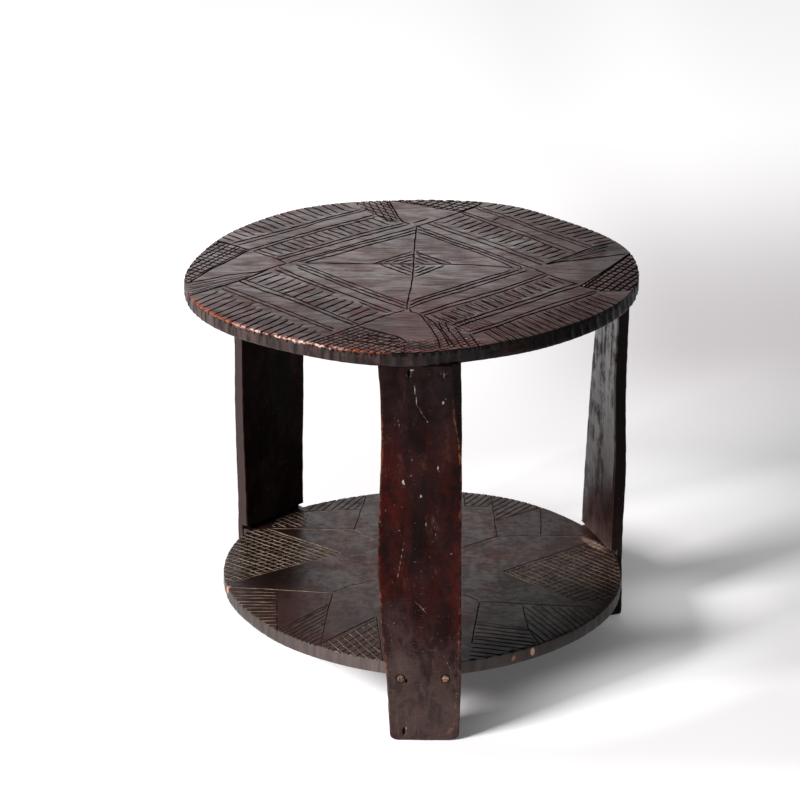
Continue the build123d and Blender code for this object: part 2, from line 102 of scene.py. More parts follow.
# ---- Carving on the top, in millimetres from the table's axis ------------------------------------
TOP_LINES = (
    # the cross
    ((7, 150), (6, 120), (5, 100), (4, 60), (3.5, 20), (2.5, -20), (1, -50), (-1, -75), (-3, -100),
     (-4, -126)),
    ((-118, 23), (-50, 20.5), (-20, 20), (40, 19), (50, 18.5), (70, 16.5), (90, 12.5), (114, 7)),
    # small diamonds, from the back left round by the right
    ((-39.5, 22), (2, 62)), ((-30, 24), (3, 53)), ((-21, 24), (3, 44)), ((-12, 22), (3, 35)),
    ((7, 59), (45, 21)), ((9, 48), (36, 19)), ((6, 40), (20, 24)), ((5, 30), (15, 20)),
    ((5, -23), (28, 4), (36, 12)), ((5, -12), (27, 12)), ((5, -3), (16, 11)), ((5, 6), (10, 14)),
    ((-33, 17), (1, -18)), ((-22, 17), (2, -8)), ((-10, 14), (3, 1)), ((-3, 17), (3, 11)),
    # the big diamond's three lines a side
    ((-136, 21), (-126, 33), (-88, 65), (-60, 90), (-30, 116), (6, 146)),
    ((-125, 26), (-90, 57), (-60, 83), (-20, 113), (7, 137)),
    ((-117, 24), (-83, 50.5), (-50, 81), (-30, 97), (7, 127)),
    ((8, 148), (22, 133), (49.5, 102), (74, 77), (102, 43), (129.5, 10.5), (137, 5)),
    ((8, 140), (25, 120.5), (49.5, 93), (75, 67), (97, 41), (122, 10.5), (123, 2)),
    ((7, 130), (22, 116), (49.5, 85), (77, 56), (104, 22), (112, 10), (114, 3)),
    ((110, -2), (90, -18), (66, -39), (43, -60), (20, -81), (0, -100)),
    ((119, 0), (100, -18), (78, -37), (55, -58), (32, -77.5), (9, -99), (-1, -113)),
    ((129, -1), (106, -21), (81, -44), (58, -66), (32, -87), (9, -109), (-1, -120.5)),
    ((-120, 20), (-100, -2), (-80.5, -25), (-59, -48), (-39, -70), (-18, -92), (-4, -107)),
    ((-126.5, 17), (-106, -4), (-86, -28), (-64, -53), (-44, -74), (-23.5, -94), (-5, -114)),
    ((-124.6, 8), (-110, -10), (-87, -35), (-68.6, -57), (-50, -78), (-29, -99.5), (-5, -122.5)),
    # first pair outside it
    ((-146, 33), (-100, 74.5), (-50, 117), (-20, 142), (-3, 154)),
    ((-149, 40), (-100, 83.5), (-67, 113.6), (-50, 128), (-20, 151), (-8, 160)),
    ((20, 158), (40.5, 135), (72, 102), (100, 71), (127, 39.5), (146, 16)),
    ((27, 161), (49.5, 137), (72, 115), (100, 86), (127, 51), (149, 26)),
    ((147, -11), (119, -41), (97, -62), (69, -84.5), (41, -108.5), (10, -138)),
    ((150, -17), (123, -45), (97, -71), (69, -96), (41, -118), (14, -143)),
    ((-145, 8), (-119, -24), (-100, -45), (-80, -67), (-57, -92), (-29, -121), (-19, -132)),
    ((-149, 1), (-121, -32), (-99, -55), (-79, -76)), ((-55, -102), (-35, -125), (-24, -136)),
    # second pair
    ((-176, 62), (-150, 88), (-100, 134.5), (-60, 165.5), (-42, 181)),
    ((-181, 67), (-150, 97), (-100, 143.6), (-60, 175), (-42, 192)),
    ((60, 196), (79, 174), (100, 148), (117, 131), (137, 109), (151, 88), (172, 65)),
    ((60, 203), (74.5, 188), (89, 172), (110, 150), (131, 128), (150, 102), (168, 82), (185, 60)),
    ((94.5, 170), (103.6, 181)),
    ((180, -44), (157, -64), (140, -82), (122, -98), (89, -128), (60, -155.6), (43, -173)),
    ((188, -48), (160, -71), (127, -104), (93, -136), (60, -166), (48, -179)),
    ((-183, -30), (-154, -60), (-128, -86), (-96, -122), (-79, -142), (-54, -170)),
    ((-188, -36), (-158, -69), (-133, -91), (-101, -126), (-83, -147.5), (-59, -173)),
    # third pair
    ((-196, 82), (-165, 108), (-120, 148), (-100, 170), (-70, 193), (-50, 210)),
    ((-202, 88), (-165, 118), (-120, 157), (-100, 177), (-70, 201), (-58, 210)),
    ((76, 215), (100, 188.6), (118, 168.6), (140, 141), (163, 114), (200, 73)),
    ((80, 220), (104, 194), (123, 173), (149, 139), (168, 119.5), (205, 78)),
    ((201, -66), (182, -82), (153, -106), (122, -136), (91, -167), (61, -192)),
    ((201, -72), (182, -91), (153, -117), (122, -144), (91, -176), (64, -199)),
    ((-200, -55), (-171, -86), (-138, -121), (-108, -154), (-79, -185)),
    ((-204, -62), (-171, -96), (-142, -126), (-116, -154), (-80, -192)),
    # back kite
    ((0, 157), (-9, 165), (-14, 183), (-18, 205), (-27, 250)),
    ((7, 148), (27, 168), (60, 202), (75, 219), (84, 234)),
    ((-25, 246), (0, 232), (20, 222), (32, 215), (62, 200)), ((2, 160), (19, 175)),
    # left kite
    ((-137, 21), (-150, 38), (-176, 61)), ((-181, 66), (-198, 36), (-208, 20), (-222, -2), (-242, -44)),
    ((-137, 21), (-150, 10), (-157, 1), (-170, -8), (-200, -17), (-215, -28), (-244, -44)),
    ((-181, 66), (-200, 83), (-225, 103)), ((-157, 1), (-170, -17), (-186, -36), (-203, -52), (-240, -86)),
    # front kite
    ((-6, -128), (-30, -147), (-59, -178), (-104, -224)), ((-52, -177), (-37, -189), (-12, -206), (-4, -222)),
    ((-1, -122), (1, -132), (10, -139), (20, -175), (28, -210), (31, -240)),
    ((14, -143), (23, -160), (32, -190), (41, -236)), ((30, -165), (34, -190), (46, -236)),
    ((36, -165), (41, -190), (54, -238)), ((47, -180), (52, -200), (62, -236)),
    ((61, -197), (66, -215), (73, -242)),
    # right kite
    ((150, 18), (163, 26), (185, 33), (214, 44), (240, 54)), ((137, 4), (147, -9), (160, -25), (184, -46)),
    ((249, 62), (231, 30), (209, -10), (184, -52)), ((150, 20), (180, 50), (207, 78), (230, 94)),
)

# Ladders of short strokes: the first, the last and how many.
TOP_LADDERS = (
    ((-171, 66), (-150, 46), (-39, 186), (-17, 161), 18), ((38, 162), (62, 187), (152, 37), (175, 61), 16),
    ((151, -25), (169, -45), (24.5, -144.5), (42, -166), 16),
    ((-177, -34), (-153, -7), (-60, -161), (-35, -133), 15),
    ((-219, 114), (-200, 96), (-86, 238), (-67, 212), 17), ((90, 220), (106, 236), (205, 87), (236, 108), 17),
    ((202, -78), (224, -102), (75, -190), (94, -222), 19),
    ((-236, -108), (-207, -70), (-110, -222), (-92, -199), 17),
    ((-165, -8), (-238, -49), (-172, -22), (-238, -86), 6), ((150, 19), (216, 50), (152, 22), (224, 88), 7),
    ((-46, -200), (-12, -212), (-70, -214), (-8, -236), 3),
)

# Fine strokes between the rungs on the right in front, where the cutting is feathery.
TOP_FEATHERS = (
    ((204, -80), (226, -104), (76, -191), (95, -223), 46),
    ((150, -25), (168, -46), (25, -144), (43, -166), 37),
    ((60, -140), (92, -170), (16, -158), (40, -200), 12),
)

# Hatched fields: the field's corners, then for each hatching its heading in degrees, its spacing and how
# wide its strokes are.
TOP_FIELDS = (
    (((-25, 246), (0, 232), (20, 222), (32, 215), (62, 200), (86, 236), (60, 262), (-20, 262)),
     (48, 8.5, 0.9), (-28, 8.5, 0.9)),
    (((-14, 168), (-18, 205), (-27, 252), (-70, 252), (-65, 232), (-55, 213), (-44, 195), (-25, 162)),
     (102, 7, 0.75), (-44, 6.8, 0.75)),
    (((-181, 66), (-198, 36), (-208, 20), (-222, -2), (-242, -44), (-264, -44), (-264, 70), (-222, 101)),
     (61, 8, 0.85), (-33, 8.5, 0.8)),
    (((-52, -177), (-37, -189), (-12, -206), (-4, -222), (-2, -262), (-90, -262), (-104, -222),
     (-59, -178)), (44, 6.8, 0.62), (-38, 7.2, 0.62)),
    (((249, 62), (231, 30), (209, -10), (184, -52), (204, -70), (264, -66), (264, 60)), (61, 7.6, 1.2),
     (-31, 9, 1.05)),
    (((16, -146), (44, -172), (62, -200), (76, -232), (28, -240), (20, -190)), (52, 5.2, 0.3),
     (-22, 6.0, 0.3)),
    (((-6, -218), (28, -214), (60, -206), (84, -228), (56, -262), (-12, -262)), (32, 6.2, 0.42),
     (-36, 6.6, 0.42)),
)

# ---- Carving on the shelf, in millimetres from the table's axis ----------------------------------
SHELF_LINES = (
    ((-53, 214), (-66, 112)), ((-128, 163), (-62, 169)), ((-165, 115), (-66, 112), (-40, 82)),
    ((-170, 115), (-80, 47), (-207, -34)), ((-206, -45), (-150, -52), (-87, -60), (-70, -44), (-40, -27)),
    ((-150, -53), (-145, -165)), ((-87, -60), (-92, -110), (-97, -192)), ((-90, -88), (-148, -162)),
    ((-37, -120), (-99, -190)), ((-37, -120), (-28, -238)), ((98, 214), (102, 93), (62, 62)),
    ((102, 93), (210, 95)), ((157, 170), (154, 97)), ((103, 138), (160, 178)), ((107, -3), (214, 79)),
    ((107, -3), (186, -80)), ((62, -65), (78, -82), (200, -96)), ((78, -82), (73, -130), (67, -186)),
    ((74, -133), (130, -150)), ((126, -92), (130, -150), (142, -190)), ((65, 214), (66, 178), (98, 178)),
)
SHELF_LADDERS = (
    ((-151, -60), (-214, -56), (-146, -154), (-176, -158), 13),
)
SHELF_FIELDS = (
    (((-128, 165), (-62, 170), (-52, 225), (-120, 225)), (62, 8, 1.0)),
    (((-166, 118), (-128, 118), (-122, 158), (-150, 170)), (45, 8, 1.0), (-42, 8, 1.0)),
    (((-170, 115), (-80, 47), (-207, -34), (-240, -34), (-240, 100)), (33, 8, 1.0), (-38, 8, 1.0)),
    (((-90, -88), (-148, -162), (-110, -215), (-97, -188)), (52, 6, 1.0)),
    (((-37, -120), (-99, -190), (-96, -240), (-28, -250)), (52, 9.5, 1.0), (-62, 9.5, 1.0)),
    (((101, 138), (158, 176), (155, 235), (97, 235)), (52, 8, 1.0)),
    (((66, 180), (98, 180), (98, 235), (64, 235)), (58, 8, 1.0)),
    (((107, -3), (214, 79), (262, 79), (262, -80), (186, -80)), (37, 8, 1.0), (-45, 8, 1.0)),
    (((74, -135), (130, -152), (146, -215), (60, -250)), (-14, 9, 1.0)),
    (((128, -94), (200, -98), (250, -130), (146, -205), (131, -150)), (-62, 8, 1.0)),
)

# ---- Stains and lights, in metres in the frame's own place ---------------------------------------
# Smudges on the top: middle, half-length, half-width and turn.  Spots on the shelf have a height after the
# middle and end with a colour.
TOP_SMUDGES = (
    (-0.174, 0.157, 0.024, 0.01, 0.7), (0.222, 0.072, 0.03, 0.013, -0.6), (0.008, -0.232, 0.026, 0.008, 0.0),
    (0.105, -0.215, 0.022, 0.008, 0.4), (0.06, -0.2, 0.018, 0.007, 0.2),
)
SHELF_SPOTS = (
    (-0.21, -0.043, 0.08, 0.006, 0.0045, 0.3, (0.42, 0.19, 0.11)),
    (0.1115, -0.2065, 0.074, 0.004, 0.005, 0.4, (0.3, 0.15, 0.1)),
    (0.1315, -0.1905, 0.075, 0.0028, 0.0055, 0.9, (0.42, 0.25, 0.16)),
    (0.212, 0.076, 0.082, 0.025, 0.0065, -0.95, (0.2, 0.13, 0.095)),
    (-0.1305, 0.182, 0.082, 0.0045, 0.0035, 0.2, (0.6, 0.55, 0.5)),
)
# Pools of light on the floor: middle, half-sizes, turn and strength.
FLOOR_POOLS = (
    ((0.27, 0.41), (0.34, 0.18), 0.0, 0.21), ((0.255, -0.13), (0.25, 0.11), 0.6, 0.42),
    ((0.31, 0.09), (0.14, 0.1), 0.3, 0.2),
)
# How far the camera looks down and is turned, in radians.
CAMERA_DIP, CAMERA_TURN = 0.38487536, 0.00369911

# ---- Dents and scored lines on the front leg's outer face, in millimetres ------------------------
# A dent: middle sideways and up, half-width, half-height, depth, how pale and how dark.
FRONT_LEG_DENTS = (
    (-1.4, 423, 3.6, 7.0, 0.5, 0.55, 0), (-1.4, 423, 1.3, 4.6, 2.2, 0, 1), (1.5, 427, 3.0, 1.2, 0.4, 0.8, 0),
    (31, 424, 2.6, 4.2, 0.9, 0.4, 0), (34.5, 421, 1.4, 4.5, 1.0, 0.62, 0), (38, 423, 2.0, 2.8, 0.8, 0.42, 0),
    (33.7, 391, 1.6, 2.6, 0.6, 0.7, 0), (36.5, 395, 1.0, 1.5, 0.4, 0.6, 0),
    (21.3, 405, 1.0, 1.4, 0.4, 0.5, 0), (1.9, 327, 1.3, 1.8, 0.5, 0.7, 0), (4.5, 330, 2.6, 3.6, 0.3, 0.25, 0),
    (28.9, 318, 1.0, 3.0, 0.7, 0.95, 0), (30.5, 314, 0.9, 1.3, 0.5, 0.9, 0),
    (-7.5, 302, 1.5, 2.9, 0.8, 1.0, 0), (-5.8, 300, 1.0, 1.4, 0.6, 1.0, 0),
    (11.3, 286, 1.2, 2.5, 0.7, 0.95, 0), (-16.9, 276, 0.9, 1.6, 0.5, 0.5, 0),
    (16.6, 254, 1.2, 3.0, 0.6, 0.75, 0), (18.6, 251, 1.3, 1.2, 0.4, 0.6, 0),
    (-11.6, 247, 2.0, 1.8, 0.5, 0.55, 0), (-10.4, 244, 0.8, 1.2, 0.5, 0.5, 0),
    (43, 220.5, 2.4, 0.9, 0.5, 0.85, 0), (5.2, 211, 1.8, 2.0, 0.5, 0.5, 0),
    (-1.1, 170, 1.2, 2.4, 0.5, 0.45, 0), (-3.2, 153, 1.7, 0.9, 0.4, 0.6, 0),
    (15.9, 157, 2.6, 1.4, 0.5, 0.5, 0), (33.8, 173, 1.6, 2.0, 0.5, 0.4, 0),
    (30.9, 121, 1.0, 1.3, 0.5, 0.6, 0), (22, 205, 1.2, 0.8, 0.3, 0.4, 0), (-14, 160, 0.8, 1.8, 0.3, 0.35, 0),
    (-6.3, 10.3, 2.2, 5.6, 0.4, 0.45, 0), (-6.3, 10.3, 1.3, 4.2, 2.4, 0, 1),
    (-4.0, 14, 1.1, 1.6, 0.5, 0.9, 0), (51.0, 76, 3.4, 3.8, 1.6, 0.25, 0), (-3.7, 71, 1.2, 2.6, 1.8, 0, 1),
)
# A line: both ends sideways and up, half-width, depth, how pale and how worn.
FRONT_LEG_LINES = (
    (3.8, 411, 6.9, 388, 0.7, 0.3, 0.78, 0), (6.9, 388, 18.3, 369, 0.7, 0.3, 0.7, 0),
    (-6.4, 233, -13.8, 189, 0.7, 0.25, 0.62, 0), (35.3, 103, 43.9, 83, 0.6, 0.2, 0.62, 0),
    (-13, 372, -11, 364, 0.7, 0.2, 0.66, 0), (8, 331, 13, 334, 0.6, 0.2, 0.56, 0),
    (24, 262, 27, 240, 0.6, 0.15, 0.56, 0), (6, 165, 12, 158, 0.6, 0.2, 0.78, 0),
    (12, 158, 18, 150, 0.6, 0.2, 0.78, 0), (-20, 140, -2, 132, 0.5, 0.1, 0.46, 0),
    (-8, 118, 24, 121, 0.5, 0.1, 0.44, 0), (-2, 104, 30, 108, 0.5, 0.1, 0.42, 0),
    (-20, 96, 8, 94, 0.5, 0.1, 0.42, 0), (43.5, 400, 45.5, 372, 1.1, 0.0, 0, 0.9),
    (45.5, 372, 50.0, 349, 1.1, 0.0, 0, 1.0), (50.0, 349, 52.2, 320, 1.1, 0.0, 0, 0.9),
    (42, 9, 45, 14, 3.2, 0.2, 0, 0.8), (50.5, 58, 49, 40, 2.6, 0.1, 0, 0.7), (30, 6, 44, 7, 1.6, 0.0, 0, 0.5),
    (52, 130, 51, 62, 1.6, 0.0, 0, 0.58), (51, 36, 47, 18, 1.6, 0.0, 0, 0.55),
    (53.5, 190, 53, 150, 2.0, 0.0, 0, 0.6),
)

# How dim each leg's timber is (the left leg's dimming is painted shade), how polished, and the tone of its
# narrow sides (painted light on the left leg's lit side, painted shade on the right leg's).
LEG_LOOKS = {
    "front": (1.0, 0.05, (0.012, 0.0060, 0.0055)),
    "left": (0.7, 0.04, (0.044, 0.0315, 0.0305)),
    "right": (1.0, 0.92, (0.0050, 0.0036, 0.0036)),
}

# ---- Sizes and colours that a user would change --------------------------------------------------
def length(name, description, default):
    """A length in metres for the sidebar."""
    return bpy.props.FloatProperty(
        name=name, description=description, default=default, unit="LENGTH", precision=4)


def colour(name, description, default):
    """A linear colour for the sidebar."""
    return bpy.props.FloatVectorProperty(
        name=name, description=description, default=default, subtype="COLOR", size=3, min=0.0, max=1.0)


class CarvingSettings(bpy.types.PropertyGroup):
    """Sizes of the carved grooves and of the boards' surfaces."""
    line_width: length("Line Width", "Width of a long carved line", 0.0036)
    line_depth: length("Line Depth", "Depth of a long carved line", 0.0019)
    hatch_width: length("Hatch Width", "Width of a short hatching stroke", 0.0036)
    hatch_depth: length("Hatch Depth", "Depth of a short hatching stroke", 0.0018)
    plane_wave: length("Planing Wave", "How deep the hand planing leaves hollows", 0.00035)
    rim_facet: length("Rim Facet", "Width of one tool mark on a rim", 0.0100)
    rim_hollow: length("Rim Hollow", "Depth of one tool mark on a rim", 0.0013)


class TimberSettings(bpy.types.PropertyGroup):
    """Colours of the timber."""
    top_dark: colour("Top Dark", "Darkest tone of the top", (0.027, 0.0078, 0.0066))
    top_mid: colour("Top Mid", "Usual tone of the top", (0.066, 0.0200, 0.0172))
    top_warm: colour("Top Warm", "Redder tone that shows where the dark is thin", (0.120, 0.0320, 0.0190))
    shelf_dark: colour("Shelf Dark", "Darkest tone of the shelf", (0.017, 0.0075, 0.0068))
    shelf_mid: colour("Shelf Mid", "Usual tone of the shelf", (0.042, 0.0190, 0.0172))
    shelf_warm: colour("Shelf Warm", "Redder tone of the shelf", (0.070, 0.0240, 0.0160))
    groove: colour("Groove", "Colour in the bottom of a groove", (0.0030, 0.0020, 0.0018))
    # the rims' wood tones, which each rim's ramp scales into painted light and shade from left to right
    rim: colour("Rim", "Handled wood round the top's rim", (0.042, 0.0295, 0.0275))
    shelf_rim: colour("Shelf Rim", "Handled wood round the shelf's rim", (0.090, 0.0700, 0.0650))
    dust: colour("Dust", "Dusty bottom of the shelf's grooves", (0.240, 0.180, 0.135))
    # worn is the bare wood of the worn arris; pale is the painted highlight where it catches the light
    worn: colour("Worn Edge", "Bare wood on a worn edge", (0.230, 0.056, 0.027))
    pale: colour("Pale Edge", "Where the worn edge is rubbed palest", (0.48, 0.33, 0.29))
    leg_dark: colour("Leg Dark", "Darkest tone of the legs", (0.0052, 0.0017, 0.0015))
    leg_mid: colour("Leg Mid", "Usual tone of the legs", (0.0160, 0.0035, 0.0030))
    peg: colour("Peg", "End grain of the pegs", (0.075, 0.044, 0.030))


class StageSettings(bpy.types.PropertyGroup):
    """Floor and camera."""
    floor: colour("Floor", "Colour of the floor", (0.88, 0.87, 0.885))
    # shade is painted shade, laid on the floor far off on the right
    shade: colour("Floor Shade", "Colour of the floor far off on the right", (0.68, 0.645, 0.672))
    camera_distance: length("Camera Distance", "From the table's axis to the camera, along the floor", 3.1158)
    camera_height: length("Camera Height", "Height of the camera over the floor", 1.55435)


# ---- Shapes --------------------------------------------------------------------------------------
def cubic(values, bends, i, j, t):
    """A curve's point at the share t of the way from value i to value j, with the bends that it has there."""
    s = 1 - t
    return s * values[i] + t * values[j] + ((s ** 3 - s) * bends[i] + (t ** 3 - t) * bends[j]) / 6


def around(radius, theta):
    """Points at a radius and an angle."""
    return np.stack([radius * np.cos(theta), radius * np.sin(theta)], 1)


def polar(xy):
    """Each point's angle, from 0 to a whole turn, and its distance."""
    return np.mod(np.arctan2(xy[:, 1], xy[:, 0]), math.tau), np.hypot(*xy.T)


def periodic_curve(points, places):
    """Smooth closed curve through points: cubics whose slopes and bends meet, read at places counted in
    points."""
    n = len(points)
    rows = 4 * np.eye(n) + np.roll(np.eye(n), 1, 0) + np.roll(np.eye(n), -1, 0)
    bends = np.linalg.solve(rows, 6 * (np.roll(points, 1, 0) - 2 * points + np.roll(points, -1, 0)))
    i = np.floor(places).astype(int) % n
    return cubic(points, bends, i, (i + 1) % n, (places - np.floor(places))[:, None])


def rim_radius(theta, radius, wander):
    """Radius of a hand-cut outline at each angle: the closed curve through its points, in polar form."""
    turn = np.arange(len(wander)) * math.tau / len(wander)
    points = around(radius + np.asarray(wander, float), turn)
    curve = periodic_curve(points, np.linspace(0, len(wander), 2401)[:-1])
    angle = np.unwrap(np.arctan2(curve[:, 1], curve[:, 0]))
    angle = np.append(angle, angle[0] + math.tau)
    distance = np.append(np.hypot(*curve.T), np.hypot(*curve[0]))
    return np.interp(np.mod(theta - angle[0], math.tau) + angle[0], angle, distance)


def wave(a, b, seed, sizes):
    """Smooth noise between 0 and 1: the mean of sine waves of the given sizes, each with its own heading."""
    rng = np.random.default_rng(seed)
    total = np.zeros(np.broadcast(a, b).shape)
    for size in sizes:
        for _ in range(3):
            heading, phase = rng.uniform(0, math.tau, 2)
            total += np.sin((a * math.cos(heading) + b * math.sin(heading)) * math.tau / size + phase)
    return 0.5 + 0.5 * np.tanh(total / math.sqrt(3 * len(sizes)))


def planing(xy, settings, seed):
    """How deep the planing's hollows are at each point of a board's face."""
    return settings.plane_wave / MM * wave(*xy.T, seed + 1, (150, 64, 37))


class Strokes:
    """Hand-cut V strokes: centre lines with a half-width and a depth at each point."""
    STEP = 5.0      # between a line's points
    FADE = 3.2      # how far from its end a stroke has its full depth
    SQUEEZE = 0.48  # how much narrower a stroke is that runs across the grain, along Y

    def __init__(self, seed):
        self.rng = np.random.default_rng(seed)
        self.items = []

    def add(self, points, half_width, depth, wobble=0.3):
        """One stroke: its points joined at even steps, moved sideways by a slow wobble, narrowing at its
        ends. half_width may be a pair for the two ends."""
        points = np.asarray(points, float)
        spans = np.hypot(*np.diff(points, axis=0).T)
        along = np.concatenate([[0], np.cumsum(spans)])
        total = along[-1]
        count = max(int(round(total / self.STEP)), 2) + 1
        tip = min(self.FADE * 0.45, total * 0.2)
        s = np.unique(np.concatenate([[0, tip], np.linspace(0, total, count)[1:-1], [total - tip, total]]))
        s = s[np.concatenate([[True], np.diff(s) > 0.8])]
        s[-1] = total
        line = np.stack([np.interp(s, along, points[:, k]) for k in (0, 1)], 1)
        heading = np.gradient(line, s, axis=0)
        heading /= np.hypot(*heading.T)[:, None]
        across = np.stack([-heading[:, 1], heading[:, 0]], 1)
        phase, size = self.rng.uniform(0, math.tau), self.rng.uniform(26, 60)
        line += across * (wobble * np.sin(s * math.tau / size + phase))[:, None]
        near_end = np.clip(np.minimum(s, total - s) / self.FADE, 0, 1)
        swell = 1 + 0.16 * np.sin(s * math.tau / self.rng.uniform(17, 31) + self.rng.uniform(0, math.tau))
        w = np.linspace(*half_width, 2) if np.ndim(half_width) else np.full(2, half_width)
        w = np.interp(s / total, (0, 1), w) * (1 - self.SQUEEZE * heading[:, 1] ** 4)
        w = w * self.rng.uniform(0.86, 1.12) * swell * (0.35 + 0.65 * np.sqrt(near_end))
        d = depth * self.rng.uniform(0.82, 1.1) * (0.12 + 0.88 * near_end ** 0.7)
        self.items.append((line, across, w, d))

    def ladder(self, a, b, c, d, count, half_width, depth, jitter=0.9, rim=None):
        """Strokes from a-b to c-d at even steps, each end moved a little by hand.  A fan is cut finer.  In a
        long ladder an end that is near a rim of that radius runs out over it."""
        a, b, c, d = (np.array(p, float) for p in (a, b, c, d))
        room = [np.hypot(*(q - p)) / max(count - 1, 1) for p, q in ((a, c), (b, d))]
        share = 0.15 if max(room) > 1.5 * min(room) else 0.3
        half_width = [min(half_width, max(share * r, 0.35)) for r in room]
        for share in np.linspace(0, 1, count):
            start, end = a * (1 - share) + c * share, b * (1 - share) + d * share
            if rim and count > 12:
                if start @ start > end @ end:
                    start, end = end, start
                if np.hypot(*end) > 0.89 * rim:
                    run = (end - start) / np.hypot(*(end - start))
                    end = end + run * max(math.sqrt((end @ run) ** 2 - end @ end + rim * rim) - end @ run, 0)
            ends = [start + self.rng.normal(0, jitter, 2), end + self.rng.normal(0, jitter, 2)]
            self.add(ends, half_width, depth)

    def field(self, corners, heading, spacing, half_width, depth):
        """Parallel strokes across a field: lines of one heading cut to the field's corners."""
        corners = np.asarray(corners, float)
        axis = np.array([math.cos(math.radians(heading)), math.sin(math.radians(heading))])
        side = np.array([-axis[1], axis[0]])
        u, v = corners @ axis, corners @ side
        level = v.min() + spacing * 0.6
        while level < v.max() - spacing * 0.3:
            slant = self.rng.normal(0, 0.012)
            crossings = []
            for i in range(len(corners)):
                j = (i + 1) % len(corners)
                if (v[i] - level) * (v[j] - level) < 0:
                    crossings.append(u[i] + (u[j] - u[i]) * (level - v[i]) / (v[j] - v[i]))
            crossings.sort()
            for start, end in zip(crossings[::2], crossings[1::2]):
                if end - start > 5:
                    middle = (start + end) / 2
                    ends = [axis * k + side * (level + slant * (k - middle)) for k in (start, end)]
                    self.add(ends, half_width, depth)
            level += spacing * self.rng.uniform(0.88, 1.12)

    def segments(self):
        """All strokes' spans as rows of start, end, half-widths and depths."""
        return np.concatenate([
            np.hstack([line[:-1], line[1:], w[:-1, None], w[1:, None], d[:-1, None], d[1:, None]])
            for line, _, w, d in self.items])

    def sink(self, xy, margin=0.0):
        """Depth of the carving at each point: the deepest V that covers it; depth falls evenly to a V's
        sides.  With a margin, 1 where a point is that near to a V."""
        order = np.argsort(xy[:, 0])
        px, py = xy[order, 0], xy[order, 1]
        depth = np.zeros(len(xy))
        for ax, ay, bx, by, wa, wb, da, db in self.segments():
            reach = max(wa, wb) + margin
            i, j = np.searchsorted(px, (min(ax, bx) - reach, max(ax, bx) + reach))
            if i == j:
                continue
            ux, uy = bx - ax, by - ay
            t = np.clip(((px[i:j] - ax) * ux + (py[i:j] - ay) * uy) / (ux * ux + uy * uy), 0, 1)
            away = np.hypot(px[i:j] - ax - t * ux, py[i:j] - ay - t * uy)
            w = wa + (wb - wa) * t
            if margin:
                value = (away < w + margin).astype(float)
            else:
                value = (da + (db - da) * t) * np.clip(1 - away / w, 0, 1)
            depth[i:j] = np.maximum(depth[i:j], value)
        result = np.empty(len(xy))
        result[order] = depth
        return result


def put_mesh(name, verts, faces, sharp=32.0, **marks):
    """A mesh object from points in millimetres and faces, with sharp edges and named values by point."""
    mesh = bpy.data.meshes.new(name)
    mesh.from_pydata((np.asarray(verts) * MM).tolist(), [], faces)
    mesh.validate()
    mesh.polygons.foreach_set("use_smooth", np.ones(len(mesh.polygons), bool))
    mesh.set_sharp_from_angle(angle=math.radians(sharp))
    for mark, values in marks.items():
        layer = mesh.attributes.new(mark, "FLOAT", "POINT")
        layer.data.foreach_set("value", np.asarray(values, np.float32))
    mesh.update()
    obj = bpy.data.objects.new(name, mesh)
    bpy.context.scene.collection.objects.link(obj)
    return obj


def strip_faces(rows, columns, capped=False):
    """Quads between neighbouring closed rows of a grid, and a face over each of its ends if it is capped."""
    r, c = np.meshgrid(np.arange(rows - 1), np.arange(columns), indexing="ij")
    n = (c + 1) % columns
    quads = np.stack([r * columns + c, r * columns + n, (r + 1) * columns + n, (r + 1) * columns + c], -1)
    faces = quads.reshape(-1, 4).tolist()
    if capped:
        first = list(range(columns))
        faces += [first[::-1], [(rows - 1) * columns + k for k in first]]
    return faces


def facets(theta, radius, width, seed):
    """Scallops round a rim, 0 on the ridge between two tool marks and 1 in the middle of one: a parabola over
    each mark, whose widths vary."""
    rng = np.random.default_rng(seed)
    count = int(math.tau * radius / width)
    edges = np.concatenate([[0], np.cumsum(rng.uniform(0.6, 1.4, count))])
    edges *= math.tau / edges[-1]
    strength = rng.uniform(0.45, 1.0, count)
    turn = np.mod(theta, math.tau)
    i = np.clip(np.searchsorted(edges, turn, side="right") - 1, 0, count - 1)
    t = (turn - edges[i]) / (edges[i + 1] - edges[i])
    return 4 * t * (1 - t) * strength[i], edges[:-1]


def leg_sides(leg, height):
    """A leg's two long edges at each height: smooth curves through their seven offsets."""
    rows = 4 * np.eye(7) + np.eye(7, k=1) + np.eye(7, k=-1)
    rows[0], rows[-1] = np.eye(7)[0] - np.eye(7)[1], np.eye(7)[-1] - np.eye(7)[-2]
    place = np.clip(height / (LEG_HEIGHT / 6), 0, 5.9999)
    i = place.astype(int)
    result = []
    for offsets in (leg["low"], leg["high"]):
        values = np.asarray(offsets, float)
        pull = np.zeros(7)
        pull[1:-1] = 6 * (values[:-2] - 2 * values[1:-1] + values[2:])
        result.append(cubic(values, np.linalg.solve(rows, pull), i, i + 1, place - i))
    return result


def table_axis():
    """Where the table's axis stands in the frame: the top's box centre less that of its own outlines."""
    theta = np.linspace(0, math.tau, 1441)
    outlines = np.concatenate([
        around(rim_radius(theta, TOP_RADIUS, wander), theta) for wander in (TOP_WANDER, TOP_LOW_WANDER)])
    low, high = (np.array(c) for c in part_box("tabletop"))
    return (low + high)[:2] / 2 / MM - (outlines.min(0) + outlines.max(0)) / 2


AXIS = table_axis()


def out_to(leg, x, y):
    """Points given outwards and sideways from the axis, turned to a leg's azimuth."""
    c, s = math.cos(math.radians(leg["azimuth"])), math.sin(math.radians(leg["azimuth"]))
    return np.stack([x * c - y * s, x * s + y * c], -1)


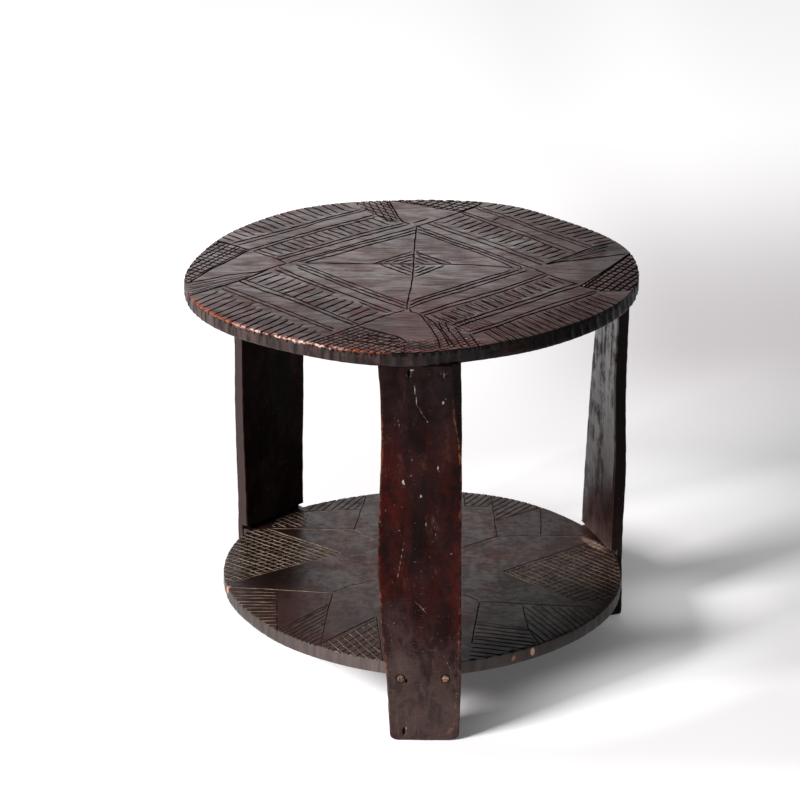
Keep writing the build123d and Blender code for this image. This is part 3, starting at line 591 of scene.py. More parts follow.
def filler_outline(leg, turn, grow=0.0):
    """An oval round a leg's top pegs, from the table's axis: half-width across the leg, half-length along
    it."""
    mid = (leg["low"][-1] + leg["high"][-1]) / 2
    x = leg["inner"] + TOP_PEG_INSET + 5.0 - leg["filler"] + (leg["filler"] + grow) * np.cos(turn)
    return out_to(leg, x, mid + (FILLER_HALF_LENGTH + grow) * np.sin(turn))


def inside_polygon(points, polygon):
    """Which points lie inside a closed polygon: a ray from each crosses its sides an odd number of times."""
    inside = np.zeros(len(points), bool)
    x, y = points.T
    for (ax, ay), (bx, by) in zip(polygon, np.roll(polygon, -1, 0)):
        crosses = (ay > y) != (by > y)
        if crosses.any():
            with np.errstate(divide="ignore", invalid="ignore"):
                inside ^= crosses & (x < (bx - ax) * (y - ay) / (by - ay) + ax)
    return inside


def carve_face(ring, edge_at, mean, holes, strokes, seed):
    """A board's face: points and triangles that hold to its ring, its holes and every groove's sides and
    bottom, with loose points in between."""
    held = [(line, True) for line in (ring, *holes)]
    for line, across, w, _ in strokes.items:
        if np.any(np.hypot(*line.T) <= mean + STROKE_REACH):
            held += [(line + across * (side * w)[:, None], False) for side in (0, 1, -1)]
    points, edges, count = [], [], 0
    for line, closed in held:
        index = np.arange(len(line)) + count
        points.append(line)
        edges.append(np.stack([index, np.roll(index, -1)], 1)[:len(line) if closed else -1])
        count += len(line)
    span = np.arange(-mean - 10, mean + 10, FACE_SPACING)  # 10 takes in the rim's waves
    loose = np.stack([k.ravel() for k in np.meshgrid(span, span)], 1)
    stray = 0.3 * FACE_SPACING
    loose += np.random.default_rng(seed).uniform(-stray, stray, loose.shape)
    turn, reach = polar(loose)
    loose = loose[reach < edge_at(turn) - RING_CLEARANCE]
    points.append(loose[strokes.sink(loose, margin=GROOVE_CLEARANCE) == 0])
    flat, _, tris, _, _, _ = delaunay_2d_cdt(
        [Vector(p) for p in np.concatenate(points).tolist()], np.concatenate(edges).tolist(), [], 0, WELD)
    flat, tris = np.array([v[:] for v in flat]), np.array(tris)
    middle = flat[tris].mean(1)
    keep = inside_polygon(middle, ring)
    for hole in holes:
        keep &= ~inside_polygon(middle, hole)
    used, tris = np.unique(tris[keep], return_inverse=True)
    return flat[used], tris.reshape(-1, 3)


def band(upper, lower):
    """Quads between two closed rows of points."""
    return np.stack([upper, lower, np.roll(lower, -1), np.roll(upper, -1)], 1).tolist()


def carved_board(name, centre, bottom, top, outer, outer_low, strokes, settings, seed, marks_of, run_out,
                 extra_turns=(), holes=(), plain_rim=None, worn_and_glint_turns=None):
    """A carved round board.  Its face is sunk by the carving and by a slow planing wave.  Its rim is a grid:
    rounded arrises, upright scalloped tool marks, and the grooves run out over it.  outer and outer_low
    give the rim's radius by angle; marks_of stretches and deepens the tool marks, and run_out is how far
    down the rim the grooves reach."""
    mark_width, mark_depth = np.multiply((settings.rim_facet, settings.rim_hollow), marks_of) / MM
    mean = float(np.mean(outer(np.linspace(0, math.tau, 360))))
    _, ridges = facets(np.zeros(1), mean, mark_width, seed)
    gaps = np.diff(np.append(ridges, math.tau))
    turns = [ridges + gaps * share for share in (0, 0.25, 0.5, 0.75)]
    turns = np.unique(np.round(np.concatenate([*turns, np.mod(extra_turns, math.tau)]), 7))
    ring = around(outer(turns) - RIM_INSET, turns)
    ring_reach = np.hypot(*ring.T)

    def edge_at(turn):
        """How far out the face's ring is at each angle."""
        return np.interp(turn, np.append(turns, math.tau + turns[0]), np.append(ring_reach, ring_reach[0]))

    flat, tris = carve_face(ring, edge_at, mean, holes, strokes, seed)

    # edges that only one triangle has are the outer ring and the holes' rims
    sides = np.sort(np.concatenate([tris[:, [0, 1]], tris[:, [1, 2]], tris[:, [2, 0]]]), axis=1)
    single, times = np.unique(sides, axis=0, return_counts=True)
    bare = np.unique(single[times == 1])
    near_hole = [np.min(np.hypot(*(flat[bare][:, None] - hole[None]).transpose(2, 0, 1)), axis=1) < BY_HOLE
                 for hole in holes]
    rim = bare[~np.any(near_hole, axis=0)] if holes else bare
    rim = rim[np.argsort(polar(flat[rim])[0], kind="stable")]

    verts, marks, faces = [], [], tris.tolist()

    def add(points, **values):
        """Takes in points with their marks, each 0 unless it is given, and returns their numbers."""
        index = np.arange(len(points)) + sum(len(row) for row in verts)
        verts.append(points)
        marks.append([np.broadcast_to(values.get(mark, 0.0), len(points)) for mark in BOARD_MARKS])
        return index

    def rubbed(xy, back):
        """How worn the upper arris is, a mark that also carries its painted highlight: full along the worn
        turns, fading inwards from the rim in ragged patches."""
        if worn_and_glint_turns is None:
            return 0.0
        turn = np.mod(np.degrees(np.arctan2(xy[:, 1], xy[:, 0])), 360)
        start, end = worn_and_glint_turns
        window = np.clip((turn - start) / 7, 0, 1) * np.clip((end - turn) / 5, 0, 1)
        ragged = 1.0 + 3.2 * wave(*xy.T, seed + 31, (24, 11, 6))
        return window * np.exp(-(back / ragged) ** 2)

    deepest = settings.line_depth / MM
    cut = strokes.sink(flat)
    face_z = top - 0.02 - planing(flat, settings, seed) - cut
    turn, reach = polar(flat)
    add(np.column_stack([flat, face_z]), cut=cut / deepest,
        worn=rubbed(flat, np.clip(edge_at(turn) - reach, 0, None)))

    # the rim's rows from the face's ring down to the underside: how far back from the edge and how far down
    # each is, and its share of the tool marks.  Radii are read from the ring itself, so that the steps
    # beside a board's tongues stay upright.
    theta, up = polar(flat[rim])
    up = up + RIM_INSET
    low = up + (outer_low(theta) - outer(theta))
    tool = np.interp(theta, turns, facets(turns, mean, mark_width, seed)[0])
    if plain_rim:
        tool = tool * (np.interp(theta, turns, plain_rim(turns).astype(float)) <= 0.5)
    thick = top - bottom
    previous = rim
    for back, fall, share in (
            (1.1, 0.32, 0.25), (0.35, 1.1, 0.6), (0.05, 2.4, 1.0), (0.0, 6.0, 1.0), (0.0, 10.0, 1.0),
            (0.05, thick - 2.4, 1.0), (0.5, thick - 0.9, 0.8), (1.6, thick - 0.15, 0.3),
            (2.8, thick - 0.02, 0.0)):
        lower = fall / thick
        ragged = 0.35 * wave(theta * 120, fall * 2.0, seed + 5, (30, 13))
        radius = up * (1 - lower) + low * lower - back - mark_depth * tool * share - 0.12 - ragged * share
        xy = around(radius, theta)
        level = np.full(len(rim), top - fall)
        if fall < 1.2:
            level = np.minimum(level, face_z[rim])
        sunk = strokes.sink(xy) if fall < run_out else np.zeros(len(rim))
        if fall < 3:
            level = np.minimum(level, top - 0.3 - sunk)
        index = add(np.column_stack([xy, level]), cut=np.clip(sunk / deepest, 0, 1), rim=1.0,
                    worn=rubbed(xy, max(fall - 0.6, 0) * 1.8), tool=tool * share)
        faces += band(previous, index)
        previous = index
    for share in (0.9, 0.7, 0.45, 0.2, 0.05):
        inner = xy * share
        index = add(np.column_stack([inner, bottom + 0.02 + 0.3 * wave(*inner.T, seed + 9, (120, 60))]))
        faces += band(previous, index)
        previous = index
    middle = add(np.array([[0, 0, bottom + 0.1]]))
    faces += np.stack([previous, np.repeat(middle, len(rim)), np.roll(previous, -1)], 1).tolist()

    # pockets for the filler
    for hole, near in zip(holes, near_hole):
        middle = hole.mean(0)
        edge = bare[near]
        edge = edge[np.argsort(np.arctan2(*(flat[edge] - middle).T[::-1]))]
        index = add(np.column_stack([flat[edge], np.full(len(edge), top - POCKET_DEPTH)]), cut=1.0)
        centre_of = add(np.array([[*middle, top - POCKET_DEPTH]]), cut=1.0)
        faces += np.stack([edge, np.roll(edge, -1), np.roll(index, -1), index], 1).tolist()
        faces += np.stack([index, np.roll(index, -1), np.repeat(centre_of, len(index))], 1).tolist()

    verts = np.concatenate(verts)
    verts[:, :2] += centre
    return put_mesh(name, verts, faces, sharp=30, **dict(zip(BOARD_MARKS, np.hstack(marks))))


def hewn_leg(name, leg, seed, dents, lines, wane, foot_round, grid):
    """A plank leg: sections up its height, each a rounded rectangle between its two long edges, whose broad
    faces carry shallow adze hollows, dents and scored lines, with a cross cut in the inner face for the
    shelf.  A dent is a face, a middle, half its width and height, a depth, and how pale and how dark it
    is.  wane is how wide and deep one upper corner has rounded away, and from what height."""
    levels = np.unique(np.round(np.concatenate([
        np.linspace(0, 10, 8), np.arange(10, LEG_HEIGHT, grid), np.add(HOUSING_LOW, (-2.0, -0.3, 0.0)),
        np.add(HOUSING_HIGH, (-0.1, 0.2, 3.0)), (LEG_HEIGHT - 1.2, LEG_HEIGHT)]), 3))
    levels = levels[np.concatenate([[True], np.diff(levels) > 0.25])]
    levels[-1] = LEG_HEIGHT
    z = levels[:, None]
    low, high = (side[:, None] for side in leg_sides(leg, levels))
    thick = leg["foot"] + (leg["top"] - leg["foot"]) * z / LEG_HEIGHT
    in_housing = (z >= HOUSING_LOW - 0.01) & (z <= HOUSING_HIGH - 0.05)
    inner = leg["inner"] + np.where(in_housing, HOUSING_DEPTH, 0.0)
    ends = [np.where(z < r, r - np.sqrt(np.clip(r * r - (r - z) ** 2, 0, None)), 0) for r in foot_round]
    ragged = [0.5 * wave(z, z * 0 + k, seed + k, (46, 19)) for k in (1, 2)]
    low = low + ends[0] + ragged[0]
    high = high - ends[1] - ragged[1]

    # one section as columns: share of thickness and width, then offsets from there, and what face it is on:
    # 0 and 3 are the narrow faces, 1 the outer and 2 the inner one
    r = LEG_CORNER
    broad = np.linspace(0, 1, int(90 / grid) + 7)
    narrow = np.linspace(0, 1, 8)
    arc = np.linspace(0, math.pi / 2, 4)[1:-1]
    columns = [(1, b, 0, r * (1 - 2 * b), 1) for b in broad]
    columns += [(1, 1, -r + r * math.cos(a), -r + r * math.sin(a), 1) for a in arc]
    columns += [(1 - a, 1, -r * (1 - 2 * a), 0, 0) for a in narrow]
    columns += [(0, 1, r - r * math.sin(a), -r + r * math.cos(a), 2) for a in arc]
    columns += [(0, 1 - b, 0, -r * (1 - 2 * b), 2) for b in broad]
    columns += [(0, 0, r - r * math.cos(a), r - r * math.sin(a), 2) for a in arc]
    columns += [(a, 0, r * (1 - 2 * a), 0, 3) for a in narrow]
    columns += [(1, 0, -r + r * math.sin(a), r - r * math.cos(a), 1) for a in arc]
    a, b, ox, oy, side = np.array(columns).T[:, None, :]
    outer = leg["inner"] + thick
    x = inner + (outer - inner) * a + ox
    y = low + (high - low) * b + oy
    zz = np.broadcast_to(z, x.shape).copy()

    # adze hollows on the broad faces, and a slow twist of the narrow ones
    hollow = 0.9 * wave(y, zz * 0.55, seed + 11, (70, 44)) + 0.35 * wave(y * 0.8, zz, seed + 12, (24, 15))
    x -= np.where(side == 1, hollow, 0)
    by_housing = (zz >= HOUSING_LOW - 0.5) & (zz <= HOUSING_HIGH + 0.3)
    x += np.where((side == 2) & ~by_housing, hollow * 0.7, 0)
    y += np.where(side == 3, 0.5 * wave(x, zz * 0.7, seed + 13, (50, 18)), 0)
    y -= np.where(side == 0, 0.5 * wave(x, zz * 0.7, seed + 14, (50, 18)), 0)
    pale, dark, rubbed = (np.zeros(x.shape) for _ in range(3))
    for face, dy, dz, ry, rz, depth, light, black in dents:
        share = np.exp(-(((y - dy) / ry) ** 2 + ((zz - dz) / rz) ** 2) ** 1.5) * (side == face)
        x += np.where(face == 1, -1, 1) * depth * share
        pale = np.maximum(pale, light * share)
        dark = np.maximum(dark, black * share)
    for face, y0, z0, y1, z1, wide, depth, light, worn in lines:
        t = np.clip(((y - y0) * (y1 - y0) + (zz - z0) * (z1 - z0)) / ((y1 - y0) ** 2 + (z1 - z0) ** 2), 0, 1)
        away = np.hypot(y - y0 - t * (y1 - y0), zz - z0 - t * (z1 - z0)) / wide
        share = np.exp(-away ** 2) * (side == face)
        x += np.where(face == 1, -1, 1) * depth * share
        pale = np.maximum(pale, light * share)
        rubbed = np.maximum(rubbed, worn * share)
    if wane:
        width, deep, start = wane
        share = np.clip((zz - start) / (LEG_HEIGHT - start), 0, 1)
        in_from_corner = np.clip((leg["high"][-1] - y) / np.maximum(width * share, 1e-3), 0, 1)
        line = outer - deep * share * (1 - in_from_corner)
        x = np.where(share > 0, np.minimum(x, line - 0.25 * wave(zz, y, seed + 21, (20, 9))), x)
    edge = np.minimum(np.abs(y - low), np.abs(high - y)) + np.minimum(np.abs(x - inner), np.abs(outer - x))
    edge = np.minimum(edge, WEAR_REACH) / WEAR_REACH
    verts = np.concatenate([out_to(leg, x, y) + AXIS, zz[..., None]], -1).reshape(-1, 3)
    n = x.shape[1]
    faces = strip_faces(len(levels), n)

    # caps: a grid between the two broad faces would cross the corners, so a fan from each end's middle
    middles = []
    for row, flip in ((0, True), (len(levels) - 1, False)):
        index = np.arange(n) + row * n
        fan = np.stack([index, np.roll(index, -1), np.full(n, len(verts) + len(middles))], 1)
        faces += (fan[:, ::-1] if flip else fan).tolist()
        middles.append([*verts[index, :2].mean(0), levels[row]])
    marks = {"wear": np.maximum((1 - edge) ** 2, rubbed),
             "narrow": np.broadcast_to((side == 0) | (side == 3), x.shape).astype(float),
             "nick": pale * (1 - dark), "slit": dark}
    marks = {mark: np.append(values.ravel(), (0.0, 0.0)) for mark, values in marks.items()}
    return put_mesh(name, np.concatenate([verts, middles]), faces, sharp=38, **marks)


def lathe(name, profile, centre, axis, facet, seed, segments=28):
    """A turned shape: each profile point (along, radius) carried round an axis, its radius cut back by
    facets."""
    side = np.cross(axis, (0, 0, 1))
    side /= np.linalg.norm(side)
    third = np.cross(axis, side)
    turn = np.arange(segments) * math.tau / segments
    rough = 1 - facet * wave(np.cos(turn) * 4, np.sin(turn) * 4, seed, (3, 5))
    profile = np.asarray(profile, float)
    along, radius = profile[:, 0, None], profile[:, 1, None] * rough
    verts = (np.asarray(centre) + along[..., None] * axis
             + radius[..., None] * (np.cos(turn)[:, None] * side + np.sin(turn)[:, None] * third))
    return put_mesh(name, verts.reshape(-1, 3), strip_faces(len(profile), segments, capped=True))


# ---- Materials -----------------------------------------------------------------------------------
BLACK = (0.0, 0.0, 0.0)


def tint(tone, share):
    """A colour made darker or lighter, by one share or by one for each channel."""
    return tuple(np.multiply(tone, share).tolist())


class Value:
    """A node's output.  A sum that is written with it makes a math node."""

    def __init__(self, nodes, socket):
        self.nodes, self.socket = nodes, socket

    def __add__(self, other):
        return self.nodes.math("ADD", self, other)

    def __sub__(self, other):
        return self.nodes.math("SUBTRACT", self, other)

    def __rsub__(self, other):
        return self.nodes.math("SUBTRACT", other, self)

    def __mul__(self, other):
        return self.nodes.math("MULTIPLY", self, other)


class Nodes:
    """Short hand for building a node tree."""

    def __init__(self, tree):
        self.tree = tree

    def join(self, value, socket):
        """Puts a value, or another node's output, into an input."""
        if isinstance(value, Value):
            self.tree.links.new(value.socket, socket)
        else:
            socket.default_value = value

    def node(self, kind, **values):
        """A node with its properties and inputs set; i3 is the input numbered 3."""
        node = self.tree.nodes.new(kind)
        for key, value in values.items():
            if hasattr(node, key) and key not in node.inputs:
                setattr(node, key, value)
            else:
                self.join(value, node.inputs[int(key[1:]) if key[1:].isdigit() else key])
        return node

    def new(self, kind, output, **values):
        """The output of a new node."""
        return Value(self, self.node(kind, **values).outputs[output])

    def where(self):
        """The place of each point in the frame."""
        return self.new("ShaderNodeTexCoord", "Object")

    def axes(self, vector):
        """A vector's X, Y and Z."""
        outputs = self.node("ShaderNodeSeparateXYZ", Vector=vector).outputs
        return [Value(self, outputs[axis]) for axis in "XYZ"]

    def mark(self, name):
        """A named value that the mesh carries at its points."""
        return self.new("ShaderNodeAttribute", "Fac", attribute_name=name)

    def noise(self, vector, scale, detail=4.0, roughness=0.55, distortion=0.0):
        """Fractal noise's value."""
        return self.new("ShaderNodeTexNoise", "Fac", Vector=vector, Scale=scale, Detail=detail,
                        Roughness=roughness, Distortion=distortion)

    def stretch(self, vector, scale, turn=(0, 0, 0)):
        """Coordinates scaled, and turned, for grain."""
        return self.new("ShaderNodeMapping", "Vector", Vector=vector, Scale=scale, Rotation=turn)

    def reach(self, vector, place, size, turn):
        """How far each point is from an oval's middle, counted in the oval's half-sizes."""
        moved = self.new("ShaderNodeMapping", "Vector", vector_type="TEXTURE", Vector=vector, Location=place,
                         Rotation=(0, 0, turn), Scale=size)
        return self.new("ShaderNodeVectorMath", "Value", operation="LENGTH", i0=moved)

    def span(self, value, low, high, to_low=0.0, to_high=1.0):
        """A value's span mapped to another, smoothly and held at its ends."""
        return self.new("ShaderNodeMapRange", "Result", interpolation_type="SMOOTHSTEP", i0=value, i1=low,
                        i2=high, i3=to_low, i4=to_high)

    def ramp(self, value, *stops):
        """A value's colour on a ramp of (place, colour) stops."""
        node = self.node("ShaderNodeValToRGB", i0=value)
        bar = node.color_ramp.elements
        bar[0].position, bar[-1].position = stops[0][0], stops[-1][0]
        bar[0].color, bar[-1].color = (*stops[0][1], 1), (*stops[-1][1], 1)
        for place, tone in stops[1:-1]:
            bar.new(place).color = (*tone, 1)
        return Value(self, node.outputs["Color"])

    def mix(self, share, a, b):
        """Two colours mixed."""
        a, b = (tone if isinstance(tone, Value) else (*tone, 1) for tone in (a, b))
        return self.new("ShaderNodeMix", 2, data_type="RGBA", i0=share, i6=a, i7=b)

    def over(self, base, *coats):
        """A colour under coats that are laid on in turn, each a share and a tone."""
        for share, tone in coats:
            base = self.mix(share, base, tone)
        return base

    def math(self, operation, a, b, clamp=False):
        """One sum on two values."""
        return self.new("ShaderNodeMath", 0, operation=operation, use_clamp=clamp, i0=a, i1=b)


def timber_group():
    """Dark hewn timber: cloudy stain, streaky grain and pores along one direction, small scuffs, and bare
    wood where the wear value is high."""
    tree = bpy.data.node_groups.get("Hewn Timber")
    if tree:
        return tree
    tree = bpy.data.node_groups.new("Hewn Timber", "ShaderNodeTree")
    for way, kind, keys in (
            ("INPUT", "Vector", ("Vector",)), ("INPUT", "Color", ("Dark", "Mid", "Warm", "Bare")),
            ("INPUT", "Float", ("Wear", "Grain", "Scuffs", "Smooth", "Rough")),
            ("OUTPUT", "Color", ("Color",)), ("OUTPUT", "Float", ("Roughness", "Height"))):
        for key in keys:
            tree.interface.new_socket(key, in_out=way, socket_type=f"NodeSocket{kind}")
    n = Nodes(tree)
    given = {socket.name: Value(n, socket) for socket in tree.nodes.new("NodeGroupInput").outputs}
    results = tree.nodes.new("NodeGroupOutput").inputs
    v = given["Vector"]
    along = n.stretch(v, (1, 1, 0.09))
    cloud = n.noise(v, 9.0, 5.0, 0.6)
    blotch = n.noise(v, 28.0, 4.0, 0.6)
    streak = n.noise(along, 120.0, 5.0, 0.65, 0.4)
    fine = n.noise(along, 620.0, 3.0, 0.6)
    scratch = n.new("ShaderNodeTexVoronoi", "Distance", feature="DISTANCE_TO_EDGE", Scale=55.0,
                    Vector=n.stretch(v, (1, 1, 0.45), (0.3, 0.2, 0.5)))
    lone = n.span(scratch, 0.0, 0.012, 1.0, 0.0) * n.span(n.noise(v, 34.0, 2.0), 0.60, 0.72) * given["Scuffs"]
    base = n.over(
        n.mix(n.span(cloud * 0.6 + streak * 0.4, 0.36, 0.62), given["Dark"], given["Mid"]),
        (n.span(blotch, 0.52, 0.72) * n.span(streak, 0.42, 0.62) * 0.75, given["Warm"]),
        (n.span(given["Wear"] + (blotch - 0.5) * 0.9, 0.45, 1.0), given["Bare"]),
        (lone, given["Bare"]))
    rough = n.new("ShaderNodeMapRange", "Result", i0=blotch * 0.6 + cloud * 0.4, i1=0.36, i2=0.66,
                  i3=given["Smooth"], i4=given["Rough"])
    n.join(base, results["Color"])
    n.join(rough + fine * 0.08, results["Roughness"])
    n.join((streak * 0.55 + fine * 0.25) * given["Grain"] + lone * -0.6, results["Height"])
    return tree


def new_material(name):
    """A new material, its nodes and its Principled shader's inputs."""
    material = bpy.data.materials.new(name)
    material.use_nodes = True
    return material, Nodes(material.node_tree), material.node_tree.nodes["Principled BSDF"].inputs


def timber(name, dark, mid, warm, bare, finish, grain, smooth, rough, bump, specular, polish=0.3, scuffs=0.0,
           turn=(0, 0, 0), wear=None):
    """A timber finish: the shared group with its own colours, into a Principled shader with fine bump.
    finish changes the colour, the roughness and the height, and adds how polished each place is, which
    becomes the coat's weight."""
    material, n, shader = new_material(name)
    where = n.where()
    group = n.node("ShaderNodeGroup")
    group.node_tree = timber_group()
    values = {"Dark": (*dark, 1), "Mid": (*mid, 1), "Warm": (*warm, 1), "Bare": (*bare, 1), "Grain": grain,
              "Scuffs": scuffs, "Smooth": smooth, "Rough": rough, "Vector": n.stretch(where, (1, 1, 1), turn),
              "Wear": wear(n, where) if wear else 0.0}
    for key, value in values.items():
        n.join(value, group.inputs[key])
    base, roughness, height, gloss = finish(
        n, where, *(Value(n, group.outputs[key]) for key in ("Color", "Roughness", "Height")))
    relief = n.new("ShaderNodeBump", "Normal", Strength=1.0, Distance=bump, Height=height)
    for key, value in (("Base Color", base), ("Roughness", roughness), ("Coat Weight", gloss),
                       ("Coat Roughness", polish), ("Specular IOR Level", specular), ("Normal", relief)):
        n.join(value, shader[key])
    return material


def coat(obj, material):
    """Gives a piece its only material."""
    obj.data.materials.clear()
    obj.data.materials.append(material)


def dress(obj, material, node):
    """Gives a piece its material, body and slot, and hides the CAD node that it stands for."""
    coat(obj, material)
    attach(obj, "root")
    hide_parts(node)


def blots(n, where, places, level=0.44):
    """Irregular dark smudges: how far a point is inside any of the ovals (x, y, half-length, half-width,
    turn)."""
    rough = (n.noise(where, 70.0, 3.0) - 0.5) * 1.3
    total = None
    for x, y, long, wide, turn in places:
        away = n.reach(where, (x, y, level), (long, wide, max(long, wide)), turn)
        inside = n.span(away + rough, 1.15, 0.55)
        total = n.math("MAXIMUM", total, inside) if total else inside
    return total


def board_material(name, tones, colours, rim_light_ramp, dull, ripples, shine, streaks, specular, zones, smudges=(),
                   spots=(), dust=False):
    """Carved board: near-black grooves with some dust in them, a rim with painted light and shade from left
    to right and dark gaps between its tool marks, a worn arris with a painted highlight, smudges, pale spots
    and planing ripples.  A zone mixes in a tone from one X to another and one Y to another; here the zones
    paint shade and glints.  The rim's ramp is its painted light and shade from left to right, and dull how
    little they vary; shine is the polish in front, in the middle and at the back."""
    def finish(n, where, base, roughness, height):
        cut, tool, on_rim = (n.mark(mark) for mark in ("cut", "tool", "rim"))
        x, y, _ = n.axes(where)
        # each zone paints a tone over part of the face; the zones given paint shade and glints
        for x0, x1, y0, y1, share, ragged, tone in zones:
            corner = n.span(x, x0, x1) * n.span(y, y0, y1, 0.0, share)
            if ragged:
                corner = corner * n.span(n.noise(where, 230.0, 5.0, 0.7), 0.49, 0.62)
            base = n.mix(corner, base, tone)
        streak = n.noise(n.stretch(where, (1, 1, 0.12)), 150.0, 3.0)
        rust = n.noise(n.stretch(where, (1, 1, 0.5)), 130.0, 4.0, 0.7)
        # the rim: a ramp of painted light and shade from left to right, dark streaks, dark gaps between the
        # tool marks, and rust on the left
        rim = n.over(
            n.ramp(x * 2.0 + 0.5, *rim_light_ramp), (n.span(streak, 0.34, 0.66, 1.0 - dull, 0.0), BLACK),
            (n.span(tool, 0.42, 0.0) * max(1.5 - 2.0 * dull, 0.05), colours.groove),
            (n.span(rust, 0.50, 0.64, 0.0, 0.7 * (1.0 - dull)) * n.span(x, 0.06, -0.06),
             (0.062, 0.026, 0.020)))
        base = n.mix(on_rim, base, rim)
        if smudges:
            base = n.mix(blots(n, where, smudges) * 0.8, base, tint(colours.top_dark, 0.4))
        base = n.mix(n.span(cut, 0.0, 0.22), base, colours.groove)
        if dust:
            # pale dust lies along the bottoms of the grooves on the left and in front
            spared = n.span(x, 0.01, 0.06) * n.span(y, 0.0, -0.06, 0.0, 0.8)
            patchy = n.span(n.noise(where, 60.0, 3.0), 0.30, 0.62, 0.5, 1.0)
            lies = n.span(x, 0.07, -0.07, 0.62, 1.0) * (1.0 - spared) * patchy
            base = n.mix(n.span(cut, 0.10, 0.50) * lies, base, colours.dust)
        for *middle, level, long, wide, turn, tone in spots:
            base = n.mix(blots(n, where, ((*middle, long, wide, turn),), level), base, tone)
        # the worn arris: bare red wood, with a painted highlight where it is palest on the left
        patch = n.noise(where, 150.0, 3.0)
        pale = n.span(x, -0.200, -0.155) * n.span(x, -0.060, -0.085) * n.span(patch, 0.42, 0.56)
        worn = n.mark("worn") * n.span(patch, 0.30, 0.56, 0.20, 1.0) * n.span(x, -0.045, -0.085, 0.62, 1.0)
        base = n.mix(n.span(worn, 0.15, 0.85), base, n.mix(pale, colours.worn, colours.pale))
        roughness = n.math("ADD", roughness, n.span(cut, 0.02, 0.3) * 0.6, clamp=True)
        ripple = n.noise(n.stretch(where, (0.30, 1, 1), (0, 0, -0.13)), 120.0, 2.5, 0.55, 0.6)

        # polish: long streaks and patches, less of it in front, none in the grooves and round the rim
        sheen = n.noise(n.stretch(where, (streaks, 1, 1), (0, 0, -0.13)), 150.0, 4.0, 0.66)
        sheen = sheen * 0.6 + n.noise(where, 24.0, 3.0) * 0.4
        front, middle, back = shine
        zone = n.span(y, -0.20, -0.02, front, middle) + n.span(y, 0.02, 0.16, 0.0, back - middle)
        gloss = n.span(sheen, 0.42, 0.59, 0.22, 1.10) * zone
        gloss = n.math("MULTIPLY", gloss, n.span(cut, 0.16, 0.0) * (1.0 - on_rim), clamp=True)
        return base, roughness, height + ripple * ripples, gloss

    return timber(name, *tones, colours.worn, finish, grain=0.6, smooth=0.22, rough=0.46, bump=0.00022,
                  specular=specular, polish=0.28, turn=(math.pi / 2, 0, 0.9))


